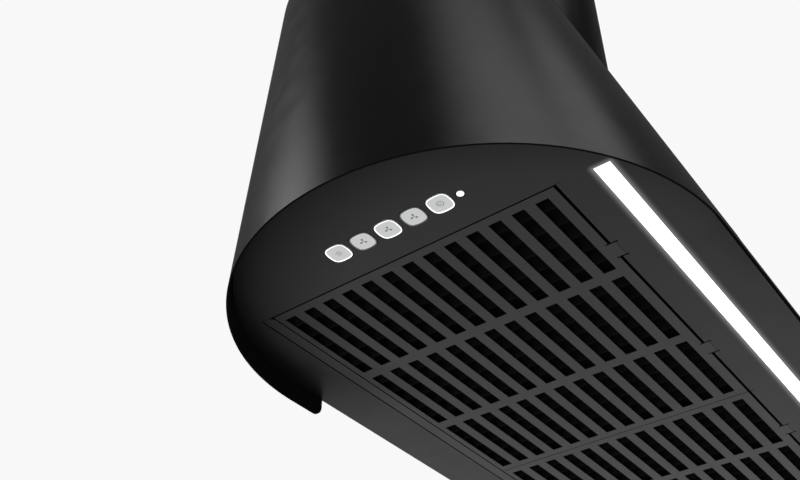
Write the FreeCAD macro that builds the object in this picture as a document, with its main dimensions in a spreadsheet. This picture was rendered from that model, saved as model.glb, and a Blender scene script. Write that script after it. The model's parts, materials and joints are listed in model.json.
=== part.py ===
import FreeCAD, Part
import math
import os

import Sketcher

# Wall-mounted chimney range hood: a capsule-shaped canopy that tapers towards its top, with a
# round telescopic chimney, two slotted grease filters, a light bar and a row of five push buttons.
#
# Frame: +Z up, the wall is the plane Y = 0 and the room is on the -Y side. The origin lies on the
# wall plane, midway between the two wall screw holes, hang_height above the canopy's lower edge.

# ---------------------------------------------------------------------------------------------
# Driving dimensions, in millimetres (angles in degrees, counts as whole numbers)
# ---------------------------------------------------------------------------------------------

DIMENSIONS = {
    # canopy
    "canopy_width": 900.0,          # across the lower edge, end to end
    "canopy_depth": 394.0,          # wall to the front of the lower edge
    "canopy_height": 380.0,         # lower edge to the upper rim
    "top_depth": 277.0,             # wall to the front of the upper rim
    "shell_wall": 1.5,
    "rear_opening": 436.0,          # between the two upright rear edges of the shell
    "shell_corner_radius": 10.0,    # rounding of the shell's two lower rear corners
    "hang_height": 300.0,           # lower edge up to the wall screw holes
    "top_thick": 1.5,
    "back_thick": 1.5,
    "strip_width": 36.0,            # upright strips that join the shell to the back plate
    "fit_gap": 0.3,                 # clearance between faces that fit but don't touch
    "sheet_gap": 0.4,               # clearance at the edges of plates that meet
    # underside panel
    "skirt_depth": 18.0,            # how far the shell hangs below the panel
    "panel_thick": 1.5,
    "ledge_width": 9.0,
    "ledge_thick": 1.5,
    "tab_width": 6.0,               # upright tabs of the panel, which pass through the ledge
    "tab_reach": 3.0,
    "nut_margin": 3.0,              # spring plates pushed over the tabs
    "nut_thick": 0.8,
    # grease filters
    "filter_end_margin": 111.2,     # canopy's end to a filter's outer end
    "filter_front_margin": 82.1,    # canopy's front to the filters' front
    "filter_height": 10.0,
    "filter_sheet": 1.2,
    "filter_side_gap": 0.8,
    "filter_front_gap": 4.8,
    "slot_width": 10.5,
    "slot_pitch": 19.35,
    "slot_bar": 11.25,              # between the rows of slots
    "slot_end_margin": 8.3,
    "slot_rear_margin": 4.3,
    "slot_front_margin": 8.0,       # at least this much is left in front of the last slot
    "slot_rows": 3,
    "tongue_width": 16.8,
    "tongue_offset": 87.5,          # from a filter's end to the middle of its tongue
    "relief_width": 1.4,
    "relief_depth": 2.0,
    "hook_width": 24.0,
    "hook_reach": 5.0,
    "grid_bar": 12.0,
    "grid_cells": 4,
    "foil_thick": 0.6,
    "pleat_count": 18,
    "pleat_land": 2.0,              # flat top and bottom of each pleat
    "pleat_crease": 0.35,
    # rail behind the filters
    "rail_from_wall": 42.2,         # wall to the rear edge of the filter opening
    "rail_width": 11.7,
    "rail_gap": 0.6,
    "rail_sheet": 1.2,
    "rail_flange": 8.0,
    "rail_corner": 6.0,
    # spring catches in front of the filters
    "catch_width": 12.0,
    "catch_sheet": 0.8,
    "catch_height": 8.0,
    "catch_foot": 14.0,
    "catch_clearance": 0.6,
    # light bar
    "light_front_margin": 47.0,     # canopy's front to the middle of the light bar
    "light_end_margin": 112.5,      # canopy's end to the light bar's end
    "light_width": 12.4,
    "light_gap": 0.2,
    "diffuser_height": 4.0,
    "channel_wall": 1.2,
    "channel_height": 10.0,
    "channel_cap": 2.0,
    "light_board_width": 10.0,
    "light_board_thick": 1.0,
    "light_chip": 2.8,
    "light_chip_height": 0.7,
    "light_chips": 17,
    # push buttons
    "button_from_end": 79.2,
    "button_row_from_wall": 194.3,
    "button_pitch": 22.8,
    "button_size": 18.6,            # across the flats of the light ring
    "button_flank": 22.0,           # radius of the slightly bowed sides
    "button_corner": 5.2,           # radius of the rounded corners
    "ring_width": 0.9,
    "ring_height": 6.0,
    "ring_proud": 0.5,
    "cap_gap": 0.3,
    "cap_proud": 1.4,
    "cap_height": 8.0,
    "stem_size": 5.0,
    "button_travel": 1.0,
    "lens_spacing": 16.8,           # from the last button to the indicator lens
    "lens_radius": 3.2,
    "carrier_width": 27.0,
    "carrier_height": 13.0,
    "carrier_margin": 14.0,
    "board_thick": 1.6,
    "switch_size": 6.0,
    "switch_height": 2.0,
    # blower
    "impeller_width": 130.0,
    "blade_count": 24,
    "blade_depth": 14.0,
    "blade_thick": 1.2,
    "blade_bend": 4.0,              # how far a blade's middle lies in front of its edges
    "disc_thick": 2.0,
    "hub_radius": 13.0,
    "hub_length": 24.0,
    "shaft_radius": 4.0,
    "shaft_clearance": 0.05,
    "scroll_width": 150.0,
    "scroll_clearance": 13.5,       # the scroll's front ears to the shell, at the axis's height
    "cutoff_gap": 13.5,             # impeller to the scroll's narrowest wall
    "scroll_growth": 11.0,          # how much the scroll widens per quarter turn
    "scroll_wall": 2.0,
    "scroll_mouth": 100.0,          # axis up to the scroll's mouth
    "cutoff_angle": 60.0,
    "blower_height": 165.0,         # lower edge of the canopy up to the impeller's axis
    "inlet_margin": 2.0,            # inlet beyond the blades' inner edges
    "ear_size": 12.0,               # ears that the scroll halves are screwed together by
    "ear_thick": 3.0,
    "sleeve_depth": 8.0,            # how far the outlet adapter slips over the scroll's mouth
    "motor_radius": 46.0,           # to the cut corners of the motor's stack
    "motor_flat": 41.4,             # to its flat sides
    "motor_length": 74.0,
    "motor_gap": 6.0,
    "winding_reach": 18.0,
    "winding_radius": 34.0,
    "shaft_tail": 15.0,             # the shaft starts this far inside the motor's rear face
    "shaft_end": 4.0,
    "bracket_thick": 3.0,
    "bracket_arm": 14.0,
    "foot_margin": 16.0,            # the inlet's edge to the tips of the bracket's feet
    "foot_size": 12.0,
    # exhaust
    "duct_radius": 74.5,            # outside of the collar that a 150 mm duct slips over
    "collar_wall": 1.5,
    "collar_height": 60.0,
    "flange_corner_gap": 3.2,       # the square flange's corners to the chimney's inside
    "flange_thick": 2.0,
    "flange_rim": 3.0,              # the flange's rim outside the widened outlet adapter
    "flange_screw_inset": 10.0,
    "stop_size": 8.0,
    "flap_height": 12.0,            # top plate up to the flaps' pin
    "flap_thick": 1.2,
    "flap_clearance": 1.0,
    "flap_pin_radius": 1.5,
    "knuckle_radius": 3.0,
    # chimney
    "chimney_radius": 117.5,
    "chimney_wall": 1.2,
    "chimney_height": 460.0,
    "chimney_slot": 92.0,           # open strip along the chimney's back
    "telescope_gap": 0.5,
    "upper_length": 450.0,
    "clip_height": 22.0,
    "clip_width": 30.0,
    "clip_foot": 9.0,
    "clip_sheet": 1.5,
    "wall_bracket_width": 76.0,
    "wall_bracket_height": 40.0,
    "wall_bracket_depth": 30.0,
    "wall_bracket_sheet": 1.5,
    "wall_bracket_holes": 50.0,
    # wall fixings
    "wall_hole_spacing": 300.0,
    "wall_hole_radius": 3.5,
    "keyhole_spacing": 220.0,
    "keyhole_rise": 40.0,           # wall screw holes up to the keyholes
    "keyhole_entry": 6.0,
    "keyhole_slot": 3.2,
    "keyhole_length": 14.0,
    # electrics
    "box_width": 90.0,
    "box_depth": 42.0,
    "box_height": 170.0,
    "box_wall": 2.0,
    "box_from_middle": 150.0,
    "box_rise": 60.0,
    "driver_width": 90.0,
    "driver_depth": 22.0,
    "driver_height": 34.0,
    "driver_rise": 70.0,
    "board_standoff": 6.0,
    "relay_size": 16.0,
    "terminal_height": 14.0,
    "capacitor_width": 48.0,
    "capacitor_depth": 24.0,
    "capacitor_height": 34.0,
    "capacitor_rise": 150.0,
    "gland_from_axis": 103.0,       # from the chimney's axis
    "gland_angle": 20.0,            # from +X towards the wall
    "gland_radius": 9.0,
    "gland_stem": 6.0,
    "gland_bore": 4.0,
    "gland_height": 9.0,
    "gland_nut": 6.0,
    # small screws
    "screw_radius": 2.0,
    "screw_head": 3.8,
    "screw_head_height": 2.2,
    "screw_tip": 3.0,               # how far a screw stands out behind what it holds
}

doc = FreeCAD.newDocument("range_hood")
sheet = doc.addObject("Spreadsheet::Sheet", "sizes")
for row, (alias, number) in enumerate(DIMENSIONS.items(), start=1):
    sheet.set(f"A{row}", alias)
    sheet.set(f"B{row}", str(number))
    sheet.setAlias(f"B{row}", alias)
doc.recompute()


class Size:
    """A length that carries both its number and the sheet expression that it comes from."""

    def __init__(self, number, text):
        self.number = float(number)
        self.text = text

    def __add__(self, other):
        other = as_size(other)
        return Size(self.number + other.number, f"({self.text} + {other.text})")

    def __sub__(self, other):
        other = as_size(other)
        return Size(self.number - other.number, f"({self.text} - {other.text})")

    def __mul__(self, other):
        other = as_size(other)
        return Size(self.number * other.number, f"({self.text} * {other.text})")

    def __truediv__(self, other):
        other = as_size(other)
        return Size(self.number / other.number, f"({self.text} / {other.text})")

    def __neg__(self):
        return Size(-self.number, f"(0 - {self.text})")

    def __radd__(self, other):
        return as_size(other) + self

    def __rsub__(self, other):
        return as_size(other) - self

    def __rmul__(self, other):
        return as_size(other) * self

    def root(self):
        return Size(math.sqrt(self.number), f"sqrt({self.text})")


def as_size(value):
    return value if isinstance(value, Size) else Size(value, repr(float(value)))


def size(alias):
    return Size(sheet.get(alias), f"sizes.{alias}")


def cosine(angle):
    return Size(math.cos(math.radians(angle.number)), f"cos({angle.text} * 1 deg)")


def sine(angle):
    return Size(math.sin(math.radians(angle.number)), f"sin({angle.text} * 1 deg)")


def arctangent(ratio):
    """In degrees."""
    return Size(math.degrees(math.atan(ratio.number)), f"(atan({ratio.text}) / 1 deg)")


def whole(value):
    """The whole number below a value."""
    return Size(math.floor(value.number), f"floor({value.text})")


# ---------------------------------------------------------------------------------------------
# Helpers
# ---------------------------------------------------------------------------------------------

PARTS = {}      # node name -> document object


def bind(obj, path, value):
    """Ties a property to the sheet."""
    obj.setExpression(path, as_size(value).text)


def place(obj, x=0.0, y=0.0, z=0.0):
    bind(obj, "Placement.Base.x", x)
    bind(obj, "Placement.Base.y", y)
    bind(obj, "Placement.Base.z", z)
    return obj


def keep(name, obj):
    """Registers an object as a finished piece."""
    obj.Label = name
    PARTS[name] = obj
    return obj


def new_body(name, x=0.0, y=0.0, z=0.0):
    body = doc.addObject("PartDesign::Body", name)
    place(body, x, y, z)
    return keep(name, body)


def new_sketch(body, role="XY_Plane", offset=0.0):
    plane = [f for f in body.Origin.OriginFeatures if f.Role == role][0]
    sketch = body.newObject("Sketcher::SketchObject", "profile")
    sketch.AttachmentSupport = [(plane, "")]
    sketch.MapMode = "FlatFace"
    bind(sketch, "AttachmentOffset.Base.z", offset)
    return sketch


def origin_axis(body, role):
    return [f for f in body.Origin.OriginFeatures if f.Role == role][0]


def pin_length(sketch, kind, element, point, value):
    """Constrains one coordinate of a sketch point, bound to the sheet."""
    number = sketch.addConstraint(Sketcher.Constraint(kind, -1, 1, element, point, value.number))
    sketch.setExpression(f"Constraints[{number}]", value.text)


def corner(x, y):
    """A corner of an outline, from which a straight edge leaves."""
    return {"x": as_size(x), "y": as_size(y), "arc": None}


def bend(x, y, centre_x, centre_y, turn, pin):
    """A corner from which an arc leaves: turn is 1 or -1, pin the centre coordinate it is held by."""
    arc = {"x": as_size(centre_x), "y": as_size(centre_y), "turn": turn, "pin": pin}
    return {"x": as_size(x), "y": as_size(y), "arc": arc}


def outline(sketch, corners):
    """Draws a closed outline of lines and arcs and constrains it fully."""
    first_element = sketch.GeometryCount
    starts = []
    ends = []
    for index, here in enumerate(corners):
        there = corners[(index + 1) % len(corners)]
        a = FreeCAD.Vector(here["x"].number, here["y"].number, 0)
        b = FreeCAD.Vector(there["x"].number, there["y"].number, 0)
        arc = here["arc"]
        if arc is None:
            sketch.addGeometry(Part.LineSegment(a, b), False)
            starts.append(1)
            ends.append(2)
            continue
        middle = FreeCAD.Vector(arc["x"].number, arc["y"].number, 0)
        from_angle = math.atan2(a.y - middle.y, a.x - middle.x)
        to_angle = math.atan2(b.y - middle.y, b.x - middle.x)
        circle = Part.Circle(middle, FreeCAD.Vector(0, 0, 1), (a - middle).Length)
        if arc["turn"] > 0:
            sketch.addGeometry(Part.ArcOfCircle(circle, from_angle, to_angle), False)
        else:
            sketch.addGeometry(Part.ArcOfCircle(circle, to_angle, from_angle), False)
        starts.append(1 if arc["turn"] > 0 else 2)
        ends.append(2 if arc["turn"] > 0 else 1)
    count = len(corners)
    for index in range(count):
        following = (index + 1) % count
        sketch.addConstraint(Sketcher.Constraint(
            "Coincident", first_element + index, ends[index],
            first_element + following, starts[following]))
    for index, here in enumerate(corners):
        element = first_element + index
        pin_length(sketch, "DistanceX", element, starts[index], here["x"])
        pin_length(sketch, "DistanceY", element, starts[index], here["y"])
        arc = here["arc"]
        if arc is not None:
            kind = "DistanceX" if arc["pin"] == "x" else "DistanceY"
            pin_length(sketch, kind, element, 3, arc[arc["pin"]])
    return sketch


def rectangle(sketch, x_low, y_low, x_high, y_high):
    return outline(sketch, [corner(x_low, y_low), corner(x_high, y_low),
                            corner(x_high, y_high), corner(x_low, y_high)])


def disc(sketch, x, y, radius):
    x, y, radius = as_size(x), as_size(y), as_size(radius)
    middle = FreeCAD.Vector(x.number, y.number, 0)
    up = FreeCAD.Vector(0, 0, 1)
    element = sketch.addGeometry(Part.Circle(middle, up, radius.number), False)
    pin_length(sketch, "DistanceX", element, 3, x)
    pin_length(sketch, "DistanceY", element, 3, y)
    number = sketch.addConstraint(Sketcher.Constraint("Radius", element, radius.number))
    sketch.setExpression(f"Constraints[{number}]", radius.text)
    return sketch


def capsule(sketch, half_straight, front, rear):
    """A plan with two straight sides along X and half-circle ends."""
    middle = (front + rear) / 2.0
    return outline(sketch, [
        bend(half_straight, front, half_straight, middle, 1, "x"),
        corner(half_straight, rear),
        bend(-half_straight, rear, -half_straight, middle, 1, "x"),
        corner(-half_straight, front),
    ])


def squircle_inset(half):
    """Middle of the corner arcs of a rounded square with bowed sides, from its own middle."""
    shift = size("button_flank") - half
    reach = size("button_flank") - size("button_corner")
    return ((2.0 * reach * reach - shift * shift).root() - shift) / 2.0


def squircle(sketch, x, y, across, grow):
    """A rounded square of four bowed sides and four corner arcs, offset outwards by grow."""
    half = across / 2.0
    flank = size("button_flank")
    shift = flank - half
    reach = flank - size("button_corner")
    inset = squircle_inset(half)
    side = (flank + grow) * inset / reach
    level = (flank + grow) * (inset + shift) / reach - shift
    x, y = as_size(x), as_size(y)
    return outline(sketch, [
        bend(x - side, y - level, x, y + shift, 1, "y"),
        bend(x + side, y - level, x + inset, y - inset, 1, "x"),
        bend(x + level, y - side, x - shift, y, 1, "x"),
        bend(x + level, y + side, x + inset, y + inset, 1, "x"),
        bend(x + side, y + level, x, y - shift, 1, "y"),
        bend(x - side, y + level, x - inset, y + inset, 1, "x"),
        bend(x - level, y + side, x + shift, y, 1, "x"),
        bend(x - level, y - side, x - inset, y - inset, 1, "x"),
    ])


def pad(body, sketch, length, backwards=False, both_ways=False):
    feature = body.newObject("PartDesign::Pad", "pad")
    feature.Profile = sketch
    bind(feature, "Length", length)
    feature.Reversed = backwards
    if both_ways:
        feature.SideType = "Symmetric"
    return feature


def pocket(body, sketch, length, along_normal=True, both_ways=False):
    feature = body.newObject("PartDesign::Pocket", "pocket")
    feature.Profile = sketch
    bind(feature, "Length", length)
    feature.Reversed = along_normal
    if both_ways:
        feature.SideType = "Symmetric"
    return feature


def turn_pattern(body, original, role, count):
    feature = body.newObject("PartDesign::PolarPattern", "pattern")
    feature.Originals = [original]
    feature.Axis = (origin_axis(body, role), [""])
    feature.Angle = 360.0
    bind(feature, "Occurrences", count)
    body.Tip = feature
    return feature


def row_pattern(body, original, role, step, count):
    feature = body.newObject("PartDesign::LinearPattern", "pattern")
    feature.Originals = [original]
    feature.Direction = (origin_axis(body, role), [""])
    feature.Mode = "Spacing"
    bind(feature, "Offset", step)
    bind(feature, "Occurrences", count)
    body.Tip = feature
    return feature


def grid_pattern(body, original, role_a, step_a, count_a, role_b, step_b, count_b):
    """Repeats a feature in rows and columns."""
    feature = body.newObject("PartDesign::LinearPattern", "pattern")
    feature.Originals = [original]
    feature.Direction = (origin_axis(body, role_a), [""])
    feature.Mode = "Spacing"
    bind(feature, "Offset", step_a)
    bind(feature, "Occurrences", count_a)
    feature.Direction2 = (origin_axis(body, role_b), [""])
    feature.Mode2 = "Spacing"
    bind(feature, "Offset2", step_b)
    bind(feature, "Occurrences2", count_b)
    body.Tip = feature
    return feature


def box(x_low, y_low, z_low, length, width, height):
    block = doc.addObject("Part::Box", "block")
    bind(block, "Length", length)
    bind(block, "Width", width)
    bind(block, "Height", height)
    return place(block, x_low, y_low, z_low)


TURNS = {
    "+Z": FreeCAD.Rotation(),
    "-Z": FreeCAD.Rotation(FreeCAD.Vector(1, 0, 0), 180),
    "+X": FreeCAD.Rotation(FreeCAD.Vector(0, 1, 0), 90),
    "-X": FreeCAD.Rotation(FreeCAD.Vector(0, 1, 0), -90),
    "+Y": FreeCAD.Rotation(FreeCAD.Vector(1, 0, 0), -90),
    "-Y": FreeCAD.Rotation(FreeCAD.Vector(1, 0, 0), 90),
}


def rod(x, y, z, radius, length, towards="+Z"):
    cylinder = doc.addObject("Part::Cylinder", "rod")
    bind(cylinder, "Radius", radius)
    bind(cylinder, "Height", length)
    cylinder.Placement = FreeCAD.Placement(FreeCAD.Vector(0, 0, 0), TURNS[towards])
    return place(cylinder, x, y, z)


def hexagon(x, y, z, radius, length, towards="+Z"):
    """A six-sided rod, sized across its corners."""
    prism = doc.addObject("Part::Prism", "hexagon")
    prism.Polygon = 6
    bind(prism, "Circumradius", radius)
    bind(prism, "Height", length)
    prism.Placement = FreeCAD.Placement(FreeCAD.Vector(0, 0, 0), TURNS[towards])
    return place(prism, x, y, z)


def slab(profile, length):
    """A closed outline in a blank body of its own, made solid to both sides of its plane."""
    pad(profile.getParentGeoFeatureGroup(), profile, length, both_ways=True)
    return profile.getParentGeoFeatureGroup()


def blank_body(x=0.0, y=0.0, z=0.0):
    """A body that becomes one part of a piece."""
    return place(doc.addObject("PartDesign::Body", "blank"), x, y, z)


def fuse(pieces):
    joined = doc.addObject("Part::MultiFuse", "joined")
    joined.Shapes = pieces
    return joined


def cut(base, tools):
    result = doc.addObject("Part::Cut", "cut")
    result.Base = base
    result.Tool = tools[0] if len(tools) == 1 else fuse(tools)
    return result


def common(pieces):
    result = doc.addObject("Part::MultiCommon", "common")
    result.Shapes = pieces
    return result


def group(name, pieces):
    """Several separate solids that are one node, such as a set of screws."""
    compound = doc.addObject("Part::Compound", name)
    compound.Links = pieces
    return keep(name, compound)


def screw(x, y, z, length, towards):
    """A hexagonal screw whose head sits at x, y, z and whose shank goes the way that is named."""
    away = {"+": "-", "-": "+"}[towards[0]] + towards[1]
    head = hexagon(x, y, z, size("screw_head"), size("screw_head_height"), away)
    shank = hexagon(x, y, z, size("screw_radius"), length, towards)
    return fuse([head, shank])


def screw_hole(sketch, x, y, upright=False):
    """The hole that a screw's shank passes; upright turns a corner of it to the sketch's Y."""
    radius = size("screw_radius") + size("shaft_clearance")
    side = radius * math.sqrt(0.75)
    half = radius / 2.0
    around = [(radius, 0.0), (half, side), (-half, side), (-radius, 0.0), (-half, -side),
              (half, -side)]
    if upright:
        around = [(v, u) for u, v in reversed(around)]
    return outline(sketch, [corner(x + u, y + v) for u, v in around])


def octagon(sketch, x, y, half, slant):
    """A square of half width half whose corners are cut slant away from its middle."""
    end = slant * math.sqrt(2.0) - half
    return outline(sketch, [corner(x + u, y + v) for u, v in (
        (half, -end), (half, end), (end, half), (-end, half),
        (-half, end), (-half, -end), (-end, -half), (end, -half))])


# ---------------------------------------------------------------------------------------------
# Levels and places that several pieces share
# ---------------------------------------------------------------------------------------------

BOTTOM = -size("hang_height")                               # lower edge of the shell
PANEL = BOTTOM + size("skirt_depth")                        # lower face of the underside panel
PANEL_TOP = PANEL + size("panel_thick")
RIM = BOTTOM + size("canopy_height")                        # upper rim of the shell
ROOF = RIM + size("top_thick")                              # upper face of the top plate
LEAN = (size("canopy_depth") - size("top_depth")) / size("canopy_height")
TILT = arctangent(LEAN) / 2.0                               # of the axes of the conical ends
NARROWING = (1.0 - sine(TILT) * sine(TILT) / cosine(TILT) / cosine(TILT)).root()
HALF_STRAIGHT = (size("canopy_width") - NARROWING * size("canopy_depth")) / 2.0
HALF_OPENING = size("rear_opening") / 2.0

FILTER_REAR = -(size("rail_from_wall") + size("rail_gap") + size("rail_width") + size("rail_gap"))
FILTER_FRONT = size("filter_front_margin") - size("canopy_depth")
FILTER_WIDTH = FILTER_REAR - FILTER_FRONT
OPENING_REAR = -size("rail_from_wall")
OPENING_FRONT = FILTER_FRONT - size("filter_front_gap")
FILTER_INNER = size("filter_side_gap") / 2.0
FILTER_OUTER = size("canopy_width") / 2.0 - size("filter_end_margin")
FILTER_LENGTH = FILTER_OUTER - FILTER_INNER
OPENING_HALF = FILTER_OUTER + size("filter_side_gap")
TONGUES = [FILTER_INNER + size("tongue_offset"), FILTER_OUTER - size("tongue_offset")]

LIGHT_Y = size("light_front_margin") - size("canopy_depth")
LIGHT_HALF = size("canopy_width") / 2.0 - size("light_end_margin")

BUTTON_X = size("button_from_end") - size("canopy_width") / 2.0
BUTTON_Y = [-size("button_row_from_wall") + size("button_pitch") * (2.0 - i) for i in range(5)]
LENS_Y = BUTTON_Y[4] - size("lens_spacing")


def front_at(rise):
    """Distance from the wall to the canopy's outer front, rise above the lower edge."""
    return size("canopy_depth") - LEAN * rise


def end_centre(depth):
    """Middle of the half circles of a plate that fits the canopy's ends where it is this deep.
    The ends are slightly narrower than half circles, so the plate's middles lie further in."""
    return HALF_STRAIGHT - (1.0 - NARROWING) * depth / 2.0


# The scroll is as large as the shell leaves room for between the chimney's axis, over which its
# mouth lies, and the canopy's front. SCROLL_REACH is from its axis to its widest point.
CHIMNEY_Y = -size("chimney_radius")
AXIS_Z = BOTTOM + size("blower_height")
GROWTH = size("scroll_growth")
MOUTH_SHARE = cosine(size("cutoff_angle"))
SCROLL_ROOM = (front_at(size("blower_height")) - size("shell_wall") / cosine(TILT * 2.0)
               - size("scroll_clearance") - size("ear_size") - size("scroll_wall")
               - size("chimney_radius"))
SCROLL_REACH = ((SCROLL_ROOM + GROWTH * (2.25 + 1.75 * MOUTH_SHARE))
                / (1.5 + MOUTH_SHARE / 2.0))
SCROLL_FIRST = SCROLL_REACH - GROWTH / 2.0                   # radius of the widest quarter arc
SCROLL_LAST = SCROLL_REACH - GROWTH * 3.5
CUTOFF_Y = SCROLL_LAST * MOUTH_SHARE - GROWTH / 2.0
AXIS_Y = CHIMNEY_Y - (CUTOFF_Y + SCROLL_REACH) / 2.0
MOUTH_Z = AXIS_Z + size("scroll_mouth")
HALF_SCROLL = size("scroll_width") / 2.0
IMPELLER_RADIUS = SCROLL_LAST - size("cutoff_gap")
INLET_RADIUS = IMPELLER_RADIUS - size("blade_depth") + size("inlet_margin")
FOOT_REACH = INLET_RADIUS + size("foot_margin")


# ---------------------------------------------------------------------------------------------
# Canopy
# ---------------------------------------------------------------------------------------------

def half_cone(side, inset, low, high):
    """One end of the tapered canopy. The cone leans so that it touches both the upright rear
    plane and the leaning front plane, and inset moves it inwards, square to its surface."""
    margin = 5.0
    apex_y = -inset
    apex_z = BOTTOM + size("canopy_depth") / LEAN - inset * cosine(TILT) / sine(TILT)
    long_edge = (apex_z - BOTTOM - low + margin) / cosine(TILT * 2.0)
    short_edge = apex_z - BOTTOM - high - margin
    cone = doc.addObject("Part::Cone", "cone")
    bind(cone, "Radius1", long_edge * sine(TILT))
    bind(cone, "Radius2", short_edge * sine(TILT))
    bind(cone, "Height", (long_edge - short_edge) * cosine(TILT))
    cone.Placement = FreeCAD.Placement(FreeCAD.Vector(0, 0, 0),
                                       FreeCAD.Rotation(FreeCAD.Vector(-1, 0, 0), TILT.number))
    bind(cone, "Placement.Rotation.Angle", TILT)
    place(cone, side * HALF_STRAIGHT, apex_y - long_edge * cosine(TILT) * sine(TILT),
          apex_z - long_edge * cosine(TILT) * cosine(TILT))
    reach = size("canopy_depth")
    x_low = HALF_STRAIGHT if side > 0 else -HALF_STRAIGHT - reach
    around = box(x_low, -1.5 * reach, BOTTOM + low, reach, 2.0 * reach, high - low)
    return common([cone, around])


def tapered_solid(inset, low, high):
    """The canopy's whole volume between two heights above its lower edge."""
    straight = blank_body(z=BOTTOM)
    front = inset / cosine(TILT * 2.0)
    profile = outline(new_sketch(straight, "YZ_Plane"), [
        corner(front - front_at(low), low), corner(-inset, low),
        corner(-inset, high), corner(front - front_at(high), high),
    ])
    slab(profile, 2.0 * HALF_STRAIGHT)
    return fuse([straight, half_cone(-1.0, inset, low, high), half_cone(1.0, inset, low, high)])


def make_canopy_shell():
    wall = size("shell_wall")
    beyond = size("canopy_height") + wall
    outside = tapered_solid(as_size(0.0), as_size(0.0), size("canopy_height"))
    inside = tapered_solid(wall, -wall, beyond)
    rounding = size("shell_corner_radius")
    opening = blank_body(z=BOTTOM)
    profile = outline(new_sketch(opening, "XZ_Plane"), [
        corner(-HALF_OPENING - rounding, -wall),
        corner(HALF_OPENING + rounding, -wall),
        bend(HALF_OPENING + rounding, 0.0, HALF_OPENING + rounding, rounding, -1, "y"),
        corner(HALF_OPENING, rounding),
        corner(HALF_OPENING, beyond),
        corner(-HALF_OPENING, beyond),
        bend(-HALF_OPENING, rounding, -HALF_OPENING - rounding, rounding, -1, "x"),
        corner(-HALF_OPENING - rounding, 0.0),
    ])
    slab(profile, 4.0 * wall)
    keep("canopy_shell", cut(outside, [inside, opening]))


def make_canopy_top():
    """The plate on the upper rim, with the exhaust hole and the cord gland's hole."""
    body = new_body("canopy_top", z=RIM)
    depth = size("top_depth")
    plan = capsule(new_sketch(body), end_centre(depth), -depth, as_size(0.0))
    pad(body, plan, size("top_thick"))
    holes = new_sketch(body)
    disc(holes, 0.0, CHIMNEY_Y, size("duct_radius") - size("collar_wall"))
    disc(holes, GLAND_X, GLAND_Y, size("gland_stem") + size("shaft_clearance"))
    for x, y in COLLAR_SCREWS + CLIP_SCREWS:
        screw_hole(holes, x, y)
    pocket(body, holes, size("top_thick"))


def make_back_plate():
    """The upright plate on the wall between the shell's rear edges."""
    half = HALF_OPENING - size("sheet_gap")
    thick = size("back_thick")
    body = new_body("back_plate", z=PANEL_TOP)
    height = RIM - PANEL_TOP
    face = rectangle(new_sketch(body, "XZ_Plane"), -half, 0.0, half, height)
    pad(body, face, thick)
    holes = new_sketch(body, "XZ_Plane")
    hole_level = -PANEL_TOP
    entry = size("keyhole_entry")
    slot = size("keyhole_slot")
    key_level = hole_level + size("keyhole_rise")
    key_top = key_level + size("keyhole_length")
    mouth = (entry * entry - slot * slot).root()
    for side in (-1.0, 1.0):
        disc(holes, side * size("wall_hole_spacing") / 2.0, hole_level, size("wall_hole_radius"))
        x = side * size("keyhole_spacing") / 2.0
        outline(holes, [
            bend(x - slot, key_level + mouth, x, key_level, 1, "y"),
            corner(x + slot, key_level + mouth),
            bend(x + slot, key_top, x, key_top, 1, "y"),
            corner(x - slot, key_top),
        ])
    pocket(body, holes, 2.0 * thick, both_ways=True)


def make_joint_strips():
    """Two upright strips inside, spot-welded across the joints of the shell and the back plate."""
    y = -size("shell_wall") - size("back_thick")
    rise = PANEL_TOP + size("ledge_thick") + size("nut_thick")
    width = size("strip_width")
    height = RIM - rise - size("sheet_gap")
    strips = []
    for side in (-1.0, 1.0):
        x = side * HALF_OPENING - width / 2.0
        strips.append(box(x, y, rise, width, size("back_thick"), height))
    group("joint_strips", strips)


def inner_edges(rise, inset):
    """Front and rear of the space inside the shell at a height, less an inset."""
    front = -(front_at(rise) - size("shell_wall") / cosine(TILT * 2.0) - inset)
    return front, -(size("shell_wall") + inset)


def inner_plan(sketch, rise, inset):
    """The capsule inside the shell at a height, less an inset."""
    front, rear = inner_edges(rise, inset)
    return capsule(sketch, end_centre(rear - front), front, rear)


def tab_places():
    """Middles of the panel's upright tabs, which pass through the ledge."""
    rise = size("skirt_depth") + size("panel_thick") + size("ledge_thick")
    front, rear = inner_edges(rise, size("fit_gap") + size("ledge_width") / 2.0)
    return [(x, y) for y in (front, rear) for x in (-HALF_STRAIGHT, as_size(0.0), HALF_STRAIGHT)]


def tab_outline(sketch, x, y, clearance):
    half_x = size("tab_width") / 2.0 + clearance
    half_y = size("panel_thick") / 2.0 + clearance
    return rectangle(sketch, x - half_x, y - half_y, x + half_x, y + half_y)


def make_panel_ledge():
    """A ring welded inside the shell, on whose lower face the underside panel is fastened."""
    body = new_body("panel_ledge", z=PANEL_TOP)
    rise = size("skirt_depth") + size("panel_thick") + size("ledge_thick")
    ring = new_sketch(body)
    inner_plan(ring, rise, size("fit_gap"))
    inner_plan(ring, rise, size("fit_gap") + size("ledge_width"))
    pad(body, ring, size("ledge_thick"))
    slots = new_sketch(body)
    for x, y in tab_places():
        tab_outline(slots, x, y, size("fit_gap"))
    pocket(body, slots, size("ledge_thick"))


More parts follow.
